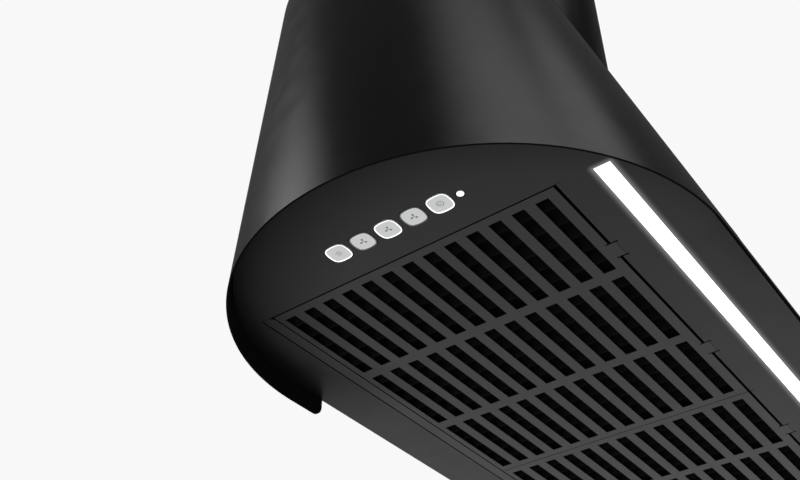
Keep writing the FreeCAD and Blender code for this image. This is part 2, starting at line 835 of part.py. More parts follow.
def make_underside_panel():
    """The capsule-shaped panel with the openings for filters, light bar, buttons and lens."""
    body = new_body("underside_panel", z=PANEL)
    front, rear = inner_edges(size("skirt_depth") + size("panel_thick"), size("fit_gap"))
    ends = end_centre(rear - front)
    half = HALF_OPENING - size("sheet_gap")
    middle = (front + rear) / 2.0
    plan = outline(new_sketch(body), [
        bend(ends, front, ends, middle, 1, "x"),
        corner(ends, rear), corner(half, rear), corner(half, 0.0),
        corner(-half, 0.0), corner(-half, rear),
        bend(-ends, rear, -ends, middle, 1, "x"),
        corner(-ends, front),
    ])
    pad(body, plan, size("panel_thick"))
    openings = new_sketch(body)
    rectangle(openings, -OPENING_HALF, OPENING_FRONT, OPENING_HALF, OPENING_REAR)
    light_half = size("light_width") / 2.0
    rectangle(openings, -LIGHT_HALF, LIGHT_Y - light_half, LIGHT_HALF, LIGHT_Y + light_half)
    for y in BUTTON_Y:
        squircle(openings, BUTTON_X, y, size("button_size"), size("fit_gap"))
    disc(openings, BUTTON_X, LENS_Y, size("lens_radius") + size("fit_gap"))
    pocket(body, openings, size("panel_thick"))
    notches = new_sketch(body)
    half_notch = size("relief_width") / 2.0
    for x in notch_places():
        rectangle(notches, x - half_notch, OPENING_FRONT - size("relief_depth"),
                  x + half_notch, OPENING_FRONT + size("relief_width"))
    pocket(body, notches, size("panel_thick"))
    tabs = new_sketch(body)
    for x, y in tab_places():
        tab_outline(tabs, x, y, 0.0)
    pad(body, tabs, size("panel_thick") + size("ledge_thick") + size("tab_reach"))


def notch_places():
    """Relief notches: one each side of every tongue."""
    places = []
    for side in (-1.0, 1.0):
        for tongue in TONGUES:
            for edge in (-0.5, 0.5):
                half = size("tongue_width") + size("relief_width")
                places.append(side * tongue + edge * half)
    return places


def make_panel_nuts():
    """Six spring plates that are pushed over the panel's tabs and grip them."""
    half_x = size("tab_width") / 2.0
    half_y = size("panel_thick") / 2.0
    clearance = size("shaft_clearance")
    nuts = []
    for x, y in tab_places():
        body = blank_body(x, y, PANEL_TOP + size("ledge_thick"))
        sketch = new_sketch(body)
        outer_x = half_x + size("nut_margin")
        outer_y = half_y + size("nut_margin")
        rectangle(sketch, -outer_x, -outer_y, outer_x, outer_y)
        rectangle(sketch, -half_x - clearance, -half_y - clearance,
                  half_x + clearance, half_y + clearance)
        pad(body, sketch, size("nut_thick"))
        nuts.append(body)
    group("panel_nuts", nuts)


# ---------------------------------------------------------------------------------------------
# Grease filters, their rail and their catches
# ---------------------------------------------------------------------------------------------

def make_filter_rail():
    """A Z-shaped rail: its upper flange lies on the panel and the filters hook over its lower one."""
    body = new_body("filter_rail", z=PANEL)
    sheet_thick = size("rail_sheet")
    rear = OPENING_REAR - size("rail_gap")
    front = rear - size("rail_width")
    top = size("panel_thick") + sheet_thick
    profile = outline(new_sketch(body, "YZ_Plane"), [
        corner(front, 0.0), corner(rear, 0.0),
        corner(rear, size("panel_thick")), corner(rear + size("rail_flange"), size("panel_thick")),
        corner(rear + size("rail_flange"), top), corner(rear - sheet_thick, top),
        corner(rear - sheet_thick, sheet_thick), corner(front, sheet_thick),
    ])
    half = OPENING_HALF - size("sheet_gap")
    pad(body, profile, 2.0 * half, both_ways=True)
    rounding = size("rail_corner")
    beyond = sheet_thick
    corners = new_sketch(body)
    for side in (-1.0, 1.0):
        outline(corners, [
            bend(side * (half - rounding), front, side * (half - rounding), front + rounding,
                 side, "x"),
            corner(side * half, front + rounding),
            corner(side * (half + beyond), front + rounding),
            corner(side * (half + beyond), front - beyond),
            corner(side * (half - rounding), front - beyond),
        ])
    pocket(body, corners, sheet_thick)


def filter_origin(side):
    """The lower rear edge of a filter, at the middle of its length."""
    return side * (FILTER_INNER + FILTER_OUTER) / 2.0


def make_filter(side, word):
    """A cassette: slotted tray with hooks and tongues, mesh pack, and the grid that closes it."""
    length, width = FILTER_LENGTH, FILTER_WIDTH
    height, skin = size("filter_height"), size("filter_sheet")
    half = length / 2.0
    x_middle = filter_origin(side)

    tray = new_body(f"filter_{word}_tray", x=x_middle, y=FILTER_REAR, z=PANEL)
    pad(tray, rectangle(new_sketch(tray), -half, -width, half, 0.0), height)
    cavity = rectangle(new_sketch(tray, offset=skin), skin - half, skin - width,
                       half - skin, -skin)
    pocket(tray, cavity, height)
    additions = new_sketch(tray)
    tongue_half = size("tongue_width") / 2.0
    tip = width + size("filter_front_gap") - size("fit_gap")
    for tongue in (half - size("tongue_offset"), size("tongue_offset") - half):
        rectangle(additions, tongue - tongue_half, -tip, tongue + tongue_half, -width)
    pad(tray, additions, skin)
    hooks = new_sketch(tray, offset=size("rail_sheet") + size("fit_gap"))
    for place_x in (half / 2.0, -half / 2.0):
        rectangle(hooks, place_x - size("hook_width") / 2.0, 0.0,
                  place_x + size("hook_width") / 2.0, size("hook_reach"))
    pad(tray, hooks, skin)
    reliefs = new_sketch(tray)
    relief_half = size("relief_width") / 2.0
    for tongue in (half - size("tongue_offset"), size("tongue_offset") - half):
        for edge in (-1.0, 1.0):
            middle = tongue + edge * (tongue_half + relief_half)
            rectangle(reliefs, middle - relief_half, -width - skin,
                      middle + relief_half, size("relief_depth") - width)
    pocket(tray, reliefs, skin)
    rows = size("slot_rows")
    slot_length = (length - 2.0 * size("slot_end_margin") - size("slot_bar") * (rows - 1.0)) / rows
    first_x = size("slot_end_margin") - half
    first_y = -size("slot_rear_margin")
    slot = rectangle(new_sketch(tray), first_x, first_y - size("slot_width"),
                     first_x + slot_length, first_y)
    first = pocket(tray, slot, skin)
    room = width - size("slot_rear_margin") - size("slot_front_margin") - size("slot_width")
    per_row = whole(room / size("slot_pitch")) + 1.0
    pattern = grid_pattern(tray, first, "X_Axis", slot_length + size("slot_bar"), rows,
                           "Y_Axis", size("slot_pitch"), per_row)
    pattern.Reversed2 = True

    inner = half - skin - size("fit_gap")
    rear = FILTER_REAR - skin - size("fit_gap")
    depth = width - 2.0 * (skin + size("fit_gap"))
    mesh = new_body(f"filter_{word}_mesh", x=x_middle - inner, y=rear, z=PANEL + skin)
    foil = size("foil_thick")
    land = size("pleat_land")
    crease = size("pleat_crease")
    crest = height - 2.0 * skin
    step = (2.0 * inner - land) / size("pleat_count")
    pleat = outline(new_sketch(mesh, "XZ_Plane"), [
        corner(0.0, 0.0), corner(land, 0.0),
        corner(step / 2.0, crest - foil), corner(step / 2.0 + land, crest - foil),
        corner(step, 0.0), corner(step + land, 0.0),
        corner(step + land, foil), corner(step + crease, foil),
        corner(step / 2.0 + land + crease, crest), corner(step / 2.0 - crease, crest),
        corner(land - crease, foil), corner(0.0, foil),
    ])
    row_pattern(mesh, pad(mesh, pleat, depth), "X_Axis", step, size("pleat_count"))

    grid = new_body(f"filter_{word}_grid", x=x_middle, y=FILTER_REAR, z=PANEL)
    plan = rectangle(new_sketch(grid, offset=height - skin), -inner,
                     skin + size("fit_gap") - width, inner, -skin - size("fit_gap"))
    pad(grid, plan, skin)
    bar = size("grid_bar")
    cells = size("grid_cells")
    cell_x = (2.0 * inner - bar * (cells + 1.0)) / cells
    cell_y = (depth - bar * (cells + 1.0)) / cells
    window = rectangle(new_sketch(grid, offset=height - skin), bar - inner,
                       -skin - size("fit_gap") - bar - cell_y, bar - inner + cell_x,
                       -skin - size("fit_gap") - bar)
    first = pocket(grid, window, skin)
    pattern = grid_pattern(grid, first, "X_Axis", cell_x + bar, cells,
                           "Y_Axis", cell_y + bar, cells)
    pattern.Reversed2 = True


def make_filter_catches():
    """Four leaf springs on the panel, bent towards the filters' front walls."""
    leaves = []
    thick = size("catch_sheet")
    height = size("catch_height")
    first_bend, nose_level, last_bend = height * 0.3, height * 0.6, height * 0.9
    inner_step = height * 0.1
    nose_thick = thick * 1.4
    nose = FILTER_FRONT - size("catch_clearance")
    stem = OPENING_FRONT - size("fit_gap")
    half = size("catch_width") / 2.0
    for side in (-1.0, 1.0):
        for tongue in TONGUES:
            body = doc.addObject("PartDesign::Body", "catch_leaf")
            place(body, side * tongue, 0.0, PANEL_TOP)
            profile = outline(new_sketch(body, "YZ_Plane"), [
                corner(stem - size("catch_foot"), 0.0), corner(stem, 0.0),
                corner(stem, first_bend), corner(nose, nose_level),
                corner(stem, last_bend), corner(stem, height),
                corner(stem - thick, height), corner(stem - thick, last_bend - inner_step),
                corner(nose - nose_thick, nose_level), corner(stem - thick, first_bend + inner_step),
                corner(stem - thick, thick), corner(stem - size("catch_foot"), thick),
            ])
            pad(body, profile, 2.0 * half, both_ways=True)
            leaves.append(body)
    group("filter_catches", leaves)


# ---------------------------------------------------------------------------------------------
# Light bar
# ---------------------------------------------------------------------------------------------

def make_light_bar():
    y = LIGHT_Y
    inner = size("light_width") / 2.0 - size("light_gap")
    outer = size("light_width") / 2.0 + size("channel_wall")
    half = LIGHT_HALF
    wall = size("channel_wall")
    height = size("channel_height")
    cap = size("channel_cap")

    channel = new_body("light_channel", y=y, z=PANEL_TOP)
    profile = outline(new_sketch(channel, "YZ_Plane"), [
        corner(-outer, 0.0), corner(wall - outer, 0.0), corner(wall - outer, height - wall),
        corner(outer - wall, height - wall), corner(outer - wall, 0.0), corner(outer, 0.0),
        corner(outer, height), corner(-outer, height),
    ])
    pad(channel, profile, 2.0 * half, both_ways=True)

    caps = []
    for side in (-1.0, 1.0):
        x = side * half if side > 0 else -half - cap
        caps.append(box(x, y - outer, PANEL_TOP, cap, 2.0 * outer, height))
    group("light_end_caps", caps)

    diffuser = new_body("light_diffuser", y=y, z=PANEL)
    gap = size("light_gap")
    plan = rectangle(new_sketch(diffuser), gap - half, -inner, half - gap, inner)
    pad(diffuser, plan, size("diffuser_height"))

    board_z = PANEL_TOP + height - wall - size("light_board_thick")
    board_half = half - 2.0 * cap
    board = box(-board_half, y - size("light_board_width") / 2.0, board_z, 2.0 * board_half,
                size("light_board_width"), size("light_board_thick"))
    chips = []
    count = int(size("light_chips").number)
    chip = size("light_chip")
    step = (2.0 * board_half - 4.0 * chip) / (size("light_chips") - 1.0)
    for number in range(count):
        x = 2.0 * chip - board_half + step * float(number) - chip / 2.0
        chips.append(box(x, y - chip / 2.0, board_z - size("light_chip_height"), chip, chip,
                         size("light_chip_height")))
    keep("light_board", fuse([board] + chips))


# ---------------------------------------------------------------------------------------------
# Push buttons
# ---------------------------------------------------------------------------------------------

BUTTONS = ["button_lamp", "button_speed_low", "button_speed_medium", "button_speed_high",
           "button_timer"]
BUTTON_SLANT = (squircle_inset(size("button_size") / 2.0) * math.sqrt(2.0)
                + size("button_corner"))                    # middle of a button to its corners
CARRIER_TOP = PANEL_TOP + size("carrier_height")
SWITCH_FACE = CARRIER_TOP - size("switch_height")
CAP_TOP = PANEL - size("cap_proud") + size("cap_height")
CAP_STEM = SWITCH_FACE - size("button_travel") - size("fit_gap") - CAP_TOP


def make_buttons():
    """Five caps, each in its own light ring; pressing one moves it up against its switch."""
    across = size("button_size")
    ring_top = size("ring_height")
    cap_offset = -(size("ring_width") + size("cap_gap"))
    for name, y in zip(BUTTONS, BUTTON_Y):
        ring = new_body(f"{name}_ring", x=BUTTON_X, y=y, z=PANEL - size("ring_proud"))
        plan = new_sketch(ring)
        squircle(plan, 0.0, 0.0, across, as_size(0.0))
        squircle(plan, 0.0, 0.0, across, -size("ring_width"))
        pad(ring, plan, ring_top)

        cap = new_body(name, x=BUTTON_X, y=y, z=PANEL - size("cap_proud"))
        plan = squircle(new_sketch(cap), 0.0, 0.0, across, cap_offset)
        pad(cap, plan, size("cap_height"))
        stem = size("stem_size") / 2.0
        plunger = rectangle(new_sketch(cap, offset=size("cap_height")), -stem, -stem, stem, stem)
        pad(cap, plunger, CAP_STEM)


def make_button_carrier():
    """The moulded block on the panel that holds the light rings, the lens and the switch board."""
    margin = size("carrier_margin")
    y_low = LENS_Y - margin / 2.0
    y_high = BUTTON_Y[0] + margin
    half = size("carrier_width") / 2.0
    body = new_body("button_carrier", x=BUTTON_X, z=PANEL_TOP)
    pad(body, rectangle(new_sketch(body), -half, y_low, half, y_high), size("carrier_height"))
    well = size("button_size") / 2.0 - size("ring_width")
    seat = size("button_size") / 2.0 + size("fit_gap")
    slant = BUTTON_SLANT - size("ring_width")
    seat_slant = BUTTON_SLANT + size("fit_gap")
    wells = new_sketch(body)
    for y in BUTTON_Y:
        octagon(wells, 0.0, y, well, slant)
    disc(wells, 0.0, LENS_Y, size("lens_radius") + size("fit_gap"))
    pocket(body, wells, size("carrier_height"))
    seats = new_sketch(body)
    for y in BUTTON_Y:
        octagon(seats, 0.0, y, seat, seat_slant)
    pocket(body, seats, size("ring_height") - size("ring_proud") - size("panel_thick"))

    board = box(BUTTON_X - half, y_low, CARRIER_TOP, size("carrier_width"), y_high - y_low,
                size("board_thick"))
    keep("switch_board", board)

    switches = []
    side = size("switch_size")
    for y in BUTTON_Y:
        switches.append(box(BUTTON_X - side / 2.0, y - side / 2.0, SWITCH_FACE, side, side,
                            size("switch_height")))
    group("tact_switches", switches)

    lens = rod(BUTTON_X, LENS_Y, PANEL - size("ring_proud") / 2.0, size("lens_radius"),
               CARRIER_TOP - size("fit_gap") - (PANEL - size("ring_proud") / 2.0))
    keep("indicator_lens", lens)


# ---------------------------------------------------------------------------------------------
# Blower
# ---------------------------------------------------------------------------------------------

def scroll_outline(sketch, grow):
    """The scroll in the Y-Z plane about the impeller's axis: four quarter arcs on the corners of
    a square, then the straight throat. grow moves the whole wall outwards."""
    e = GROWTH / 2.0
    first = SCROLL_FIRST + grow
    last = SCROLL_LAST + grow
    second = first - GROWTH
    third = second - GROWTH
    tongue_y = CUTOFF_Y - grow
    over = tongue_y + e
    tongue_z = e + (last * last - over * over).root()
    mouth = size("scroll_mouth")
    return outline(sketch, [
        bend(e + first, e, e, e, -1, "x"),
        bend(e, e - first, e, -e, -1, "y"),
        bend(-(second - e), -e, -e, -e, -1, "x"),
        bend(-e, third - e, -e, e, -1, "y"),
        corner(tongue_y, tongue_z),
        corner(tongue_y, mouth),
        corner(e + first, mouth),
    ])


def ear_places():
    """Middles of the ears below, in front of and behind the scroll, from the impeller's axis."""
    e = GROWTH / 2.0
    first = SCROLL_FIRST
    clear = size("scroll_wall") + size("ear_size") / 2.0
    return [(e, e - first - clear), (e - (first - GROWTH) - clear, -e),
            (e + first + clear, size("scroll_mouth") / 2.0)]


def make_blower_housing(side, word):
    """One half of the scroll housing, split at the middle plane, with its round inlet."""
    wall = size("scroll_wall")
    backwards = side < 0
    body = new_body(f"blower_housing_{word}", y=AXIS_Y, z=AXIS_Z)
    pad(body, scroll_outline(new_sketch(body, "YZ_Plane"), wall), HALF_SCROLL, backwards)
    hollow = scroll_outline(new_sketch(body, "YZ_Plane"), as_size(0.0))
    pocket(body, hollow, HALF_SCROLL - wall, along_normal=not backwards)
    inlet = disc(new_sketch(body, "YZ_Plane"), 0.0, 0.0, INLET_RADIUS)
    pocket(body, inlet, 2.0 * HALF_SCROLL, along_normal=not backwards)
    ears = new_sketch(body, "YZ_Plane")
    half_ear = size("ear_size") / 2.0
    bite = wall / 2.0
    (low_y, low_z), (front_y, front_z), (rear_y, rear_z) = ear_places()
    rectangle(ears, low_y - half_ear, low_z - half_ear, low_y + half_ear, low_z + half_ear + bite)
    rectangle(ears, front_y - half_ear, front_z - half_ear, front_y + half_ear + bite,
              front_z + half_ear)
    rectangle(ears, rear_y - half_ear - bite, rear_z - half_ear, rear_y + half_ear,
              rear_z + half_ear)
    pad(body, ears, size("ear_thick"), backwards)
    holes = new_sketch(body, "YZ_Plane")
    for y, z in ear_places():
        screw_hole(holes, y, z, upright=True)
    pocket(body, holes, size("ear_thick"), along_normal=not backwards)


def make_impeller():
    """A double-inlet wheel: centre disc and hub, forward-bent blades and two end rings."""
    body = new_body("impeller", y=AXIS_Y, z=AXIS_Z)
    radius = IMPELLER_RADIUS
    inner = radius - size("blade_depth")
    middle = (radius + inner) / 2.0
    thick = size("blade_thick")
    width = size("impeller_width")
    pad(body, disc(new_sketch(body, "YZ_Plane"), 0.0, 0.0, middle), size("disc_thick"),
        both_ways=True)
    hub = disc(new_sketch(body, "YZ_Plane"), 0.0, 0.0, size("hub_radius"))
    pad(body, hub, size("hub_length"))
    bore = disc(new_sketch(body, "YZ_Plane"), 0.0, 0.0,
                size("shaft_radius") + size("shaft_clearance"))
    pocket(body, bore, 3.0 * size("hub_length"), both_ways=True)
    half = thick / 2.0
    sweep = size("blade_bend")
    root = inner + thick
    tip = radius - thick
    blade = outline(new_sketch(body, "YZ_Plane"), [
        corner(half, root), corner(half - sweep, middle), corner(half, tip),
        corner(-half, tip), corner(-half - sweep, middle), corner(-half, root),
    ])
    first = pad(body, blade, width - size("disc_thick"), both_ways=True)
    turn_pattern(body, first, "X_Axis", size("blade_count"))
    for side in (-1.0, 1.0):
        ring = new_sketch(body, "YZ_Plane", offset=side * (width / 2.0))
        disc(ring, 0.0, 0.0, radius)
        disc(ring, 0.0, 0.0, inner)
        pad(body, ring, size("disc_thick"), backwards=side > 0)


def make_motor():
    """An open-frame motor inside the left inlet, on a three-armed bracket: a stack of sheets
    with its corners cut, and the windings that stand out at both ends."""
    length = size("motor_length")
    face = -size("motor_gap")
    winding = size("winding_reach")
    body = new_body("motor", x=face, y=AXIS_Y, z=AXIS_Z)
    radius = size("motor_radius")
    flat = size("motor_flat")
    stack = octagon(new_sketch(body, "YZ_Plane", offset=-winding), 0.0, 0.0, flat, radius)
    pad(body, stack, length - 2.0 * winding, True)
    coil = size("winding_radius")
    pad(body, octagon(new_sketch(body, "YZ_Plane"), 0.0, 0.0, coil, coil), length, True)
    bore = disc(new_sketch(body, "YZ_Plane"), 0.0, 0.0,
                size("shaft_radius") + size("shaft_clearance"))
    pocket(body, bore, length, along_normal=False)

    tail = size("shaft_tail")
    shaft = rod(face - length + tail, AXIS_Y, AXIS_Z, size("shaft_radius"),
                length - tail - face + size("hub_length") + size("shaft_end"), "+X")
    keep("motor_shaft", shaft)

    plate_x = face - length
    bracket = new_body("motor_bracket", x=plate_x, y=AXIS_Y, z=AXIS_Z)
    pad(bracket, disc(new_sketch(bracket, "YZ_Plane"), 0.0, 0.0, coil),
        size("bracket_thick"), True)
    arm = rectangle(new_sketch(bracket, "YZ_Plane"), size("bracket_arm") / -2.0, 0.0,
                    size("bracket_arm") / 2.0, FOOT_REACH)
    arm_pad = pad(bracket, arm, size("bracket_thick"), True)
    foot = rectangle(new_sketch(bracket, "YZ_Plane"), size("foot_size") / -2.0,
                     FOOT_REACH - size("foot_size"), size("foot_size") / 2.0, FOOT_REACH)
    foot_pad = pad(bracket, foot, -plate_x - HALF_SCROLL)
    pattern = turn_pattern(bracket, arm_pad, "X_Axis", as_size(3.0))
    pattern.Originals = [arm_pad, foot_pad]


def frustum(y, z, low_x, low_y, high_x, high_y, height):
    """A block, centred in x and about y, whose oblong bottom changes evenly into its oblong top.
    The sizes are half lengths."""
    block = doc.addObject("Part::Wedge", "frustum")
    for end, half in (("X", low_x), ("Z", low_y), ("X2", high_x), ("Z2", high_y)):
        bind(block, end + "min", -half)
        bind(block, end + "max", half)
    bind(block, "Ymax", height)
    block.Placement = FreeCAD.Placement(FreeCAD.Vector(0, 0, 0), TURNS["-Y"])
    return place(block, 0.0, y, z)


def make_outlet_adapter():
    """The folded hood that slips over the scroll's oblong mouth, widens towards the square top,
    and is closed there by the plate that holds the exhaust hole."""
    wall = size("scroll_wall")
    thick = size("flange_thick")
    depth = size("sleeve_depth")
    height = RIM - thick - MOUTH_Z
    mouth_x = HALF_SCROLL - wall
    mouth_y = (SCROLL_REACH - CUTOFF_Y) / 2.0
    sleeve_x = HALF_SCROLL + size("fit_gap")
    sleeve_y = mouth_y + wall + size("fit_gap")
    top = FLANGE_HALF - size("flange_rim")
    low = MOUTH_Z - depth

    plate = blank_body(z=RIM - thick)
    square = rectangle(new_sketch(plate), -FLANGE_HALF, CHIMNEY_Y - FLANGE_HALF,
                       FLANGE_HALF, CHIMNEY_Y + FLANGE_HALF)
    pad(plate, square, thick)
    holes = new_sketch(plate)
    disc(holes, 0.0, CHIMNEY_Y, size("duct_radius") - size("collar_wall"))
    for x, y in COLLAR_SCREWS:
        screw_hole(holes, x, y)
    pocket(plate, holes, thick)

    def sleeve(x, y):
        return box(-x, CHIMNEY_Y - y, low, 2.0 * x, 2.0 * y, depth)

    outside = fuse([
        sleeve(sleeve_x + wall, sleeve_y + wall),
        frustum(CHIMNEY_Y, MOUTH_Z, sleeve_x + wall, sleeve_y + wall, top, top, height),
    ])
    inside = [
        sleeve(sleeve_x, sleeve_y),
        frustum(CHIMNEY_Y, MOUTH_Z, mouth_x, mouth_y, top - wall, top - wall, height),
    ]
    keep("outlet_adapter", fuse([cut(outside, inside), plate]))


def make_housing_screws():
    """The screws of the motor bracket's feet and those of the scroll's ears."""
    x = -(size("motor_gap") + size("motor_length") + size("bracket_thick"))
    reach = FOOT_REACH - size("foot_size") / 2.0
    screws = []
    for degrees in (0.0, 120.0, 240.0):
        angle = math.radians(degrees)
        y = AXIS_Y - reach * math.sin(angle)
        z = AXIS_Z + reach * math.cos(angle)
        screws.append(hexagon(x - size("screw_head_height"), y, z, size("screw_head"),
                              size("screw_head_height"), "+X"))
    group("bracket_screws", screws)

    seam = []
    ear = size("ear_thick")
    for y, z in ear_places():
        seam.append(screw(ear, AXIS_Y + y, AXIS_Z + z, 2.0 * ear + size("screw_tip"), "-X"))
    group("housing_screws", seam)


# ---------------------------------------------------------------------------------------------
# Exhaust collar, flaps and chimney
# ---------------------------------------------------------------------------------------------

DIAGONAL = math.sqrt(0.5)
CHIMNEY_INSIDE = size("chimney_radius") - size("chimney_wall")
FLANGE_HALF = (CHIMNEY_INSIDE - size("flange_corner_gap")) * DIAGONAL
COLLAR_SCREW = FLANGE_HALF - size("flange_screw_inset")
COLLAR_SCREWS = [(sx * COLLAR_SCREW, CHIMNEY_Y + sy * COLLAR_SCREW)
                 for sx in (-1.0, 1.0) for sy in (-1.0, 1.0)]
HALF_CLIP = size("clip_width") / 2.0
CLIP_REACH = CHIMNEY_INSIDE - size("fit_gap")
CLIP_FACE = (CLIP_REACH * CLIP_REACH - HALF_CLIP * HALF_CLIP).root()    # axis to the flat clips
CLIP_MIDDLE = CLIP_FACE - size("clip_sheet") - size("clip_foot") / 2.0
CLIP_SCREWS = [(-CLIP_MIDDLE, CHIMNEY_Y), (CLIP_MIDDLE, CHIMNEY_Y),
               (as_size(0.0), CHIMNEY_Y - CLIP_MIDDLE)]
GLAND_X = size("gland_from_axis") * cosine(size("gland_angle"))
GLAND_Y = CHIMNEY_Y + size("gland_from_axis") * sine(size("gland_angle"))


def make_exhaust_collar():
    """The stub that the duct slips over, on a square flange, with four stops for the flaps and
    holes for their pin."""
    body = new_body("exhaust_collar", y=CHIMNEY_Y, z=ROOF)
    outer = size("duct_radius")
    inner = outer - size("collar_wall")
    plate = rectangle(new_sketch(body), -FLANGE_HALF, -FLANGE_HALF, FLANGE_HALF, FLANGE_HALF)
    pad(body, plate, size("flange_thick"))
    pad(body, disc(new_sketch(body), 0.0, 0.0, outer), size("collar_height"))
    pocket(body, disc(new_sketch(body), 0.0, 0.0, inner), size("collar_height"))
    stop_top = size("flap_height") - size("flap_thick") / 2.0 - size("fit_gap")
    stops = new_sketch(body, offset=stop_top - size("flange_thick"))
    far = (inner + size("collar_wall") / 2.0) * DIAGONAL
    near = far - size("stop_size")
    for sx in (-1.0, 1.0):
        for sy in (-1.0, 1.0):
            xs = sorted((sx * near, sx * far), key=lambda value: value.number)
            ys = sorted((sy * near, sy * far), key=lambda value: value.number)
            rectangle(stops, xs[0], ys[0], xs[1], ys[1])
    pad(body, stops, size("flange_thick"))
    pin_hole = disc(new_sketch(body, "XZ_Plane"), 0.0, size("flap_height"),
                    size("flap_pin_radius") + size("shaft_clearance"))
    pocket(body, pin_hole, 4.0 * outer, both_ways=True)
    holes = new_sketch(body)
    for x, y in COLLAR_SCREWS:
        screw_hole(holes, x, y - CHIMNEY_Y)
    pocket(body, holes, size("flange_thick"))

    pin = rod(0.0, CHIMNEY_Y - outer, ROOF + size("flap_height"), size("flap_pin_radius"),
              2.0 * outer, "+Y")
    keep("flap_pin", pin)


def make_flap(side, word):
    """A half-round flap whose knuckle takes one half of the shared pin."""
    body = new_body(f"flap_{word}", y=CHIMNEY_Y, z=ROOF + size("flap_height"))
    radius = size("duct_radius") - size("collar_wall") - size("flap_clearance")
    inset = size("knuckle_radius") + size("flap_clearance") / 2.0
    reach = (radius * radius - inset * inset).root()
    thick = size("flap_thick")
    plan = outline(new_sketch(body, offset=-thick / 2.0), [
        bend(side * inset, -reach, 0.0, 0.0, side, "x"),
        corner(side * inset, reach),
    ])
    pad(body, plan, thick)
    length = radius - size("flap_clearance") * 2.0
    start = -length if side < 0 else size("fit_gap")
    length = length - size("fit_gap")
    web = rectangle(new_sketch(body, offset=-thick / 2.0), 0.0, start,
                    side * (inset + size("flap_clearance")), start + length)
    pad(body, web, thick)
    knuckle = disc(new_sketch(body, "XZ_Plane", offset=-start), 0.0, 0.0, size("knuckle_radius"))
    pad(body, knuckle, length, backwards=True)
    bore = disc(new_sketch(body, "XZ_Plane"), 0.0, 0.0,
                size("flap_pin_radius") + size("shaft_clearance"))
    pocket(body, bore, 4.0 * radius, both_ways=True)


def make_collar_screws():
    grip = size("flange_thick") * 2.0 + size("top_thick") + size("screw_tip")
    screws = [screw(x, y, ROOF + size("flange_thick"), grip, "-Z") for x, y in COLLAR_SCREWS]
    grip = size("clip_sheet") + size("top_thick") + size("screw_tip")
    screws += [screw(x, y, ROOF + size("clip_sheet"), grip, "-Z") for x, y in CLIP_SCREWS]
    group("roof_screws", screws)


def tube_with_slot(name, outer, level, length):
    """A rolled tube, open along its back so that it passes over the fitted duct."""
    body = new_body(name, y=CHIMNEY_Y, z=level)
    ring = new_sketch(body)
    disc(ring, 0.0, 0.0, outer)
    disc(ring, 0.0, 0.0, outer - size("chimney_wall"))
    pad(body, ring, length)
    half = size("chimney_slot") / 2.0
    slot = rectangle(new_sketch(body), -half, 0.0, half, 2.0 * outer)
    pocket(body, slot, length)
    return body


def make_chimney():
    tube_with_slot("chimney_lower", size("chimney_radius"), ROOF, size("chimney_height"))
    upper_radius = CHIMNEY_INSIDE - size("telescope_gap")
    upper_level = ROOF + size("clip_height") + size("fit_gap")
    tube_with_slot("chimney_upper", upper_radius, upper_level, size("upper_length"))

    clips = []
    for turned in (0.0, 90.0, -90.0):
        body = doc.addObject("PartDesign::Body", "clip")
        body.Placement = FreeCAD.Placement(FreeCAD.Vector(0, 0, 0),
                                           FreeCAD.Rotation(FreeCAD.Vector(0, 0, 1), turned))
        place(body, 0.0, CHIMNEY_Y, ROOF)
        angle = outline(new_sketch(body, "YZ_Plane"), [
            corner(-CLIP_FACE, 0.0),
            corner(-CLIP_FACE + size("clip_sheet") + size("clip_foot"), 0.0),
            corner(-CLIP_FACE + size("clip_sheet") + size("clip_foot"), size("clip_sheet")),
            corner(-CLIP_FACE + size("clip_sheet"), size("clip_sheet")),
            corner(-CLIP_FACE + size("clip_sheet"), size("clip_height")),
            corner(-CLIP_FACE, size("clip_height")),
        ])
        pad(body, angle, size("clip_width"), both_ways=True)
        hole = screw_hole(new_sketch(body), 0.0, -CLIP_MIDDLE, upright=turned != 0.0)
        pocket(body, hole, size("clip_sheet"))
        clips.append(body)
    group("chimney_clips", clips)

    make_chimney_bracket(upper_radius, upper_level + size("upper_length"))


def make_chimney_bracket(upper_radius, top):
    """A hat-shaped bracket in the upper tube's slot: its crown goes on the wall."""
    thick = size("wall_bracket_sheet")
    half = size("wall_bracket_width") / 2.0
    depth = size("wall_bracket_depth")
    height = size("wall_bracket_height")
    inside = upper_radius - size("chimney_wall")
    level = top - height - size("fit_gap")
    reach = size("chimney_radius")
    body = doc.addObject("PartDesign::Body", "bracket_blank")
    place(body, 0.0, 0.0, level)
    plan = outline(new_sketch(body), [
        corner(-half, 0.0), corner(-half, -depth), corner(-reach, -depth),
        corner(-reach, -depth - thick), corner(thick - half, -depth - thick),
        corner(thick - half, -thick), corner(half - thick, -thick),
        corner(half - thick, -depth - thick), corner(reach, -depth - thick),
        corner(reach, -depth), corner(half, -depth), corner(half, 0.0),
    ])
    pad(body, plan, height)
    bound = rod(0.0, CHIMNEY_Y, level, inside - size("fit_gap"), height)
    crown = box(-half, -depth, level, 2.0 * half, depth, height)
    holes = []
    for side in (-1.0, 1.0):
        holes.append(rod(side * size("wall_bracket_holes") / 2.0, thick, level + height / 2.0,
                         size("wall_hole_radius"), 3.0 * thick, "-Y"))
    keep("chimney_bracket", cut(common([body, fuse([bound, crown])]), holes))


# ---------------------------------------------------------------------------------------------
# Electrics
# ---------------------------------------------------------------------------------------------

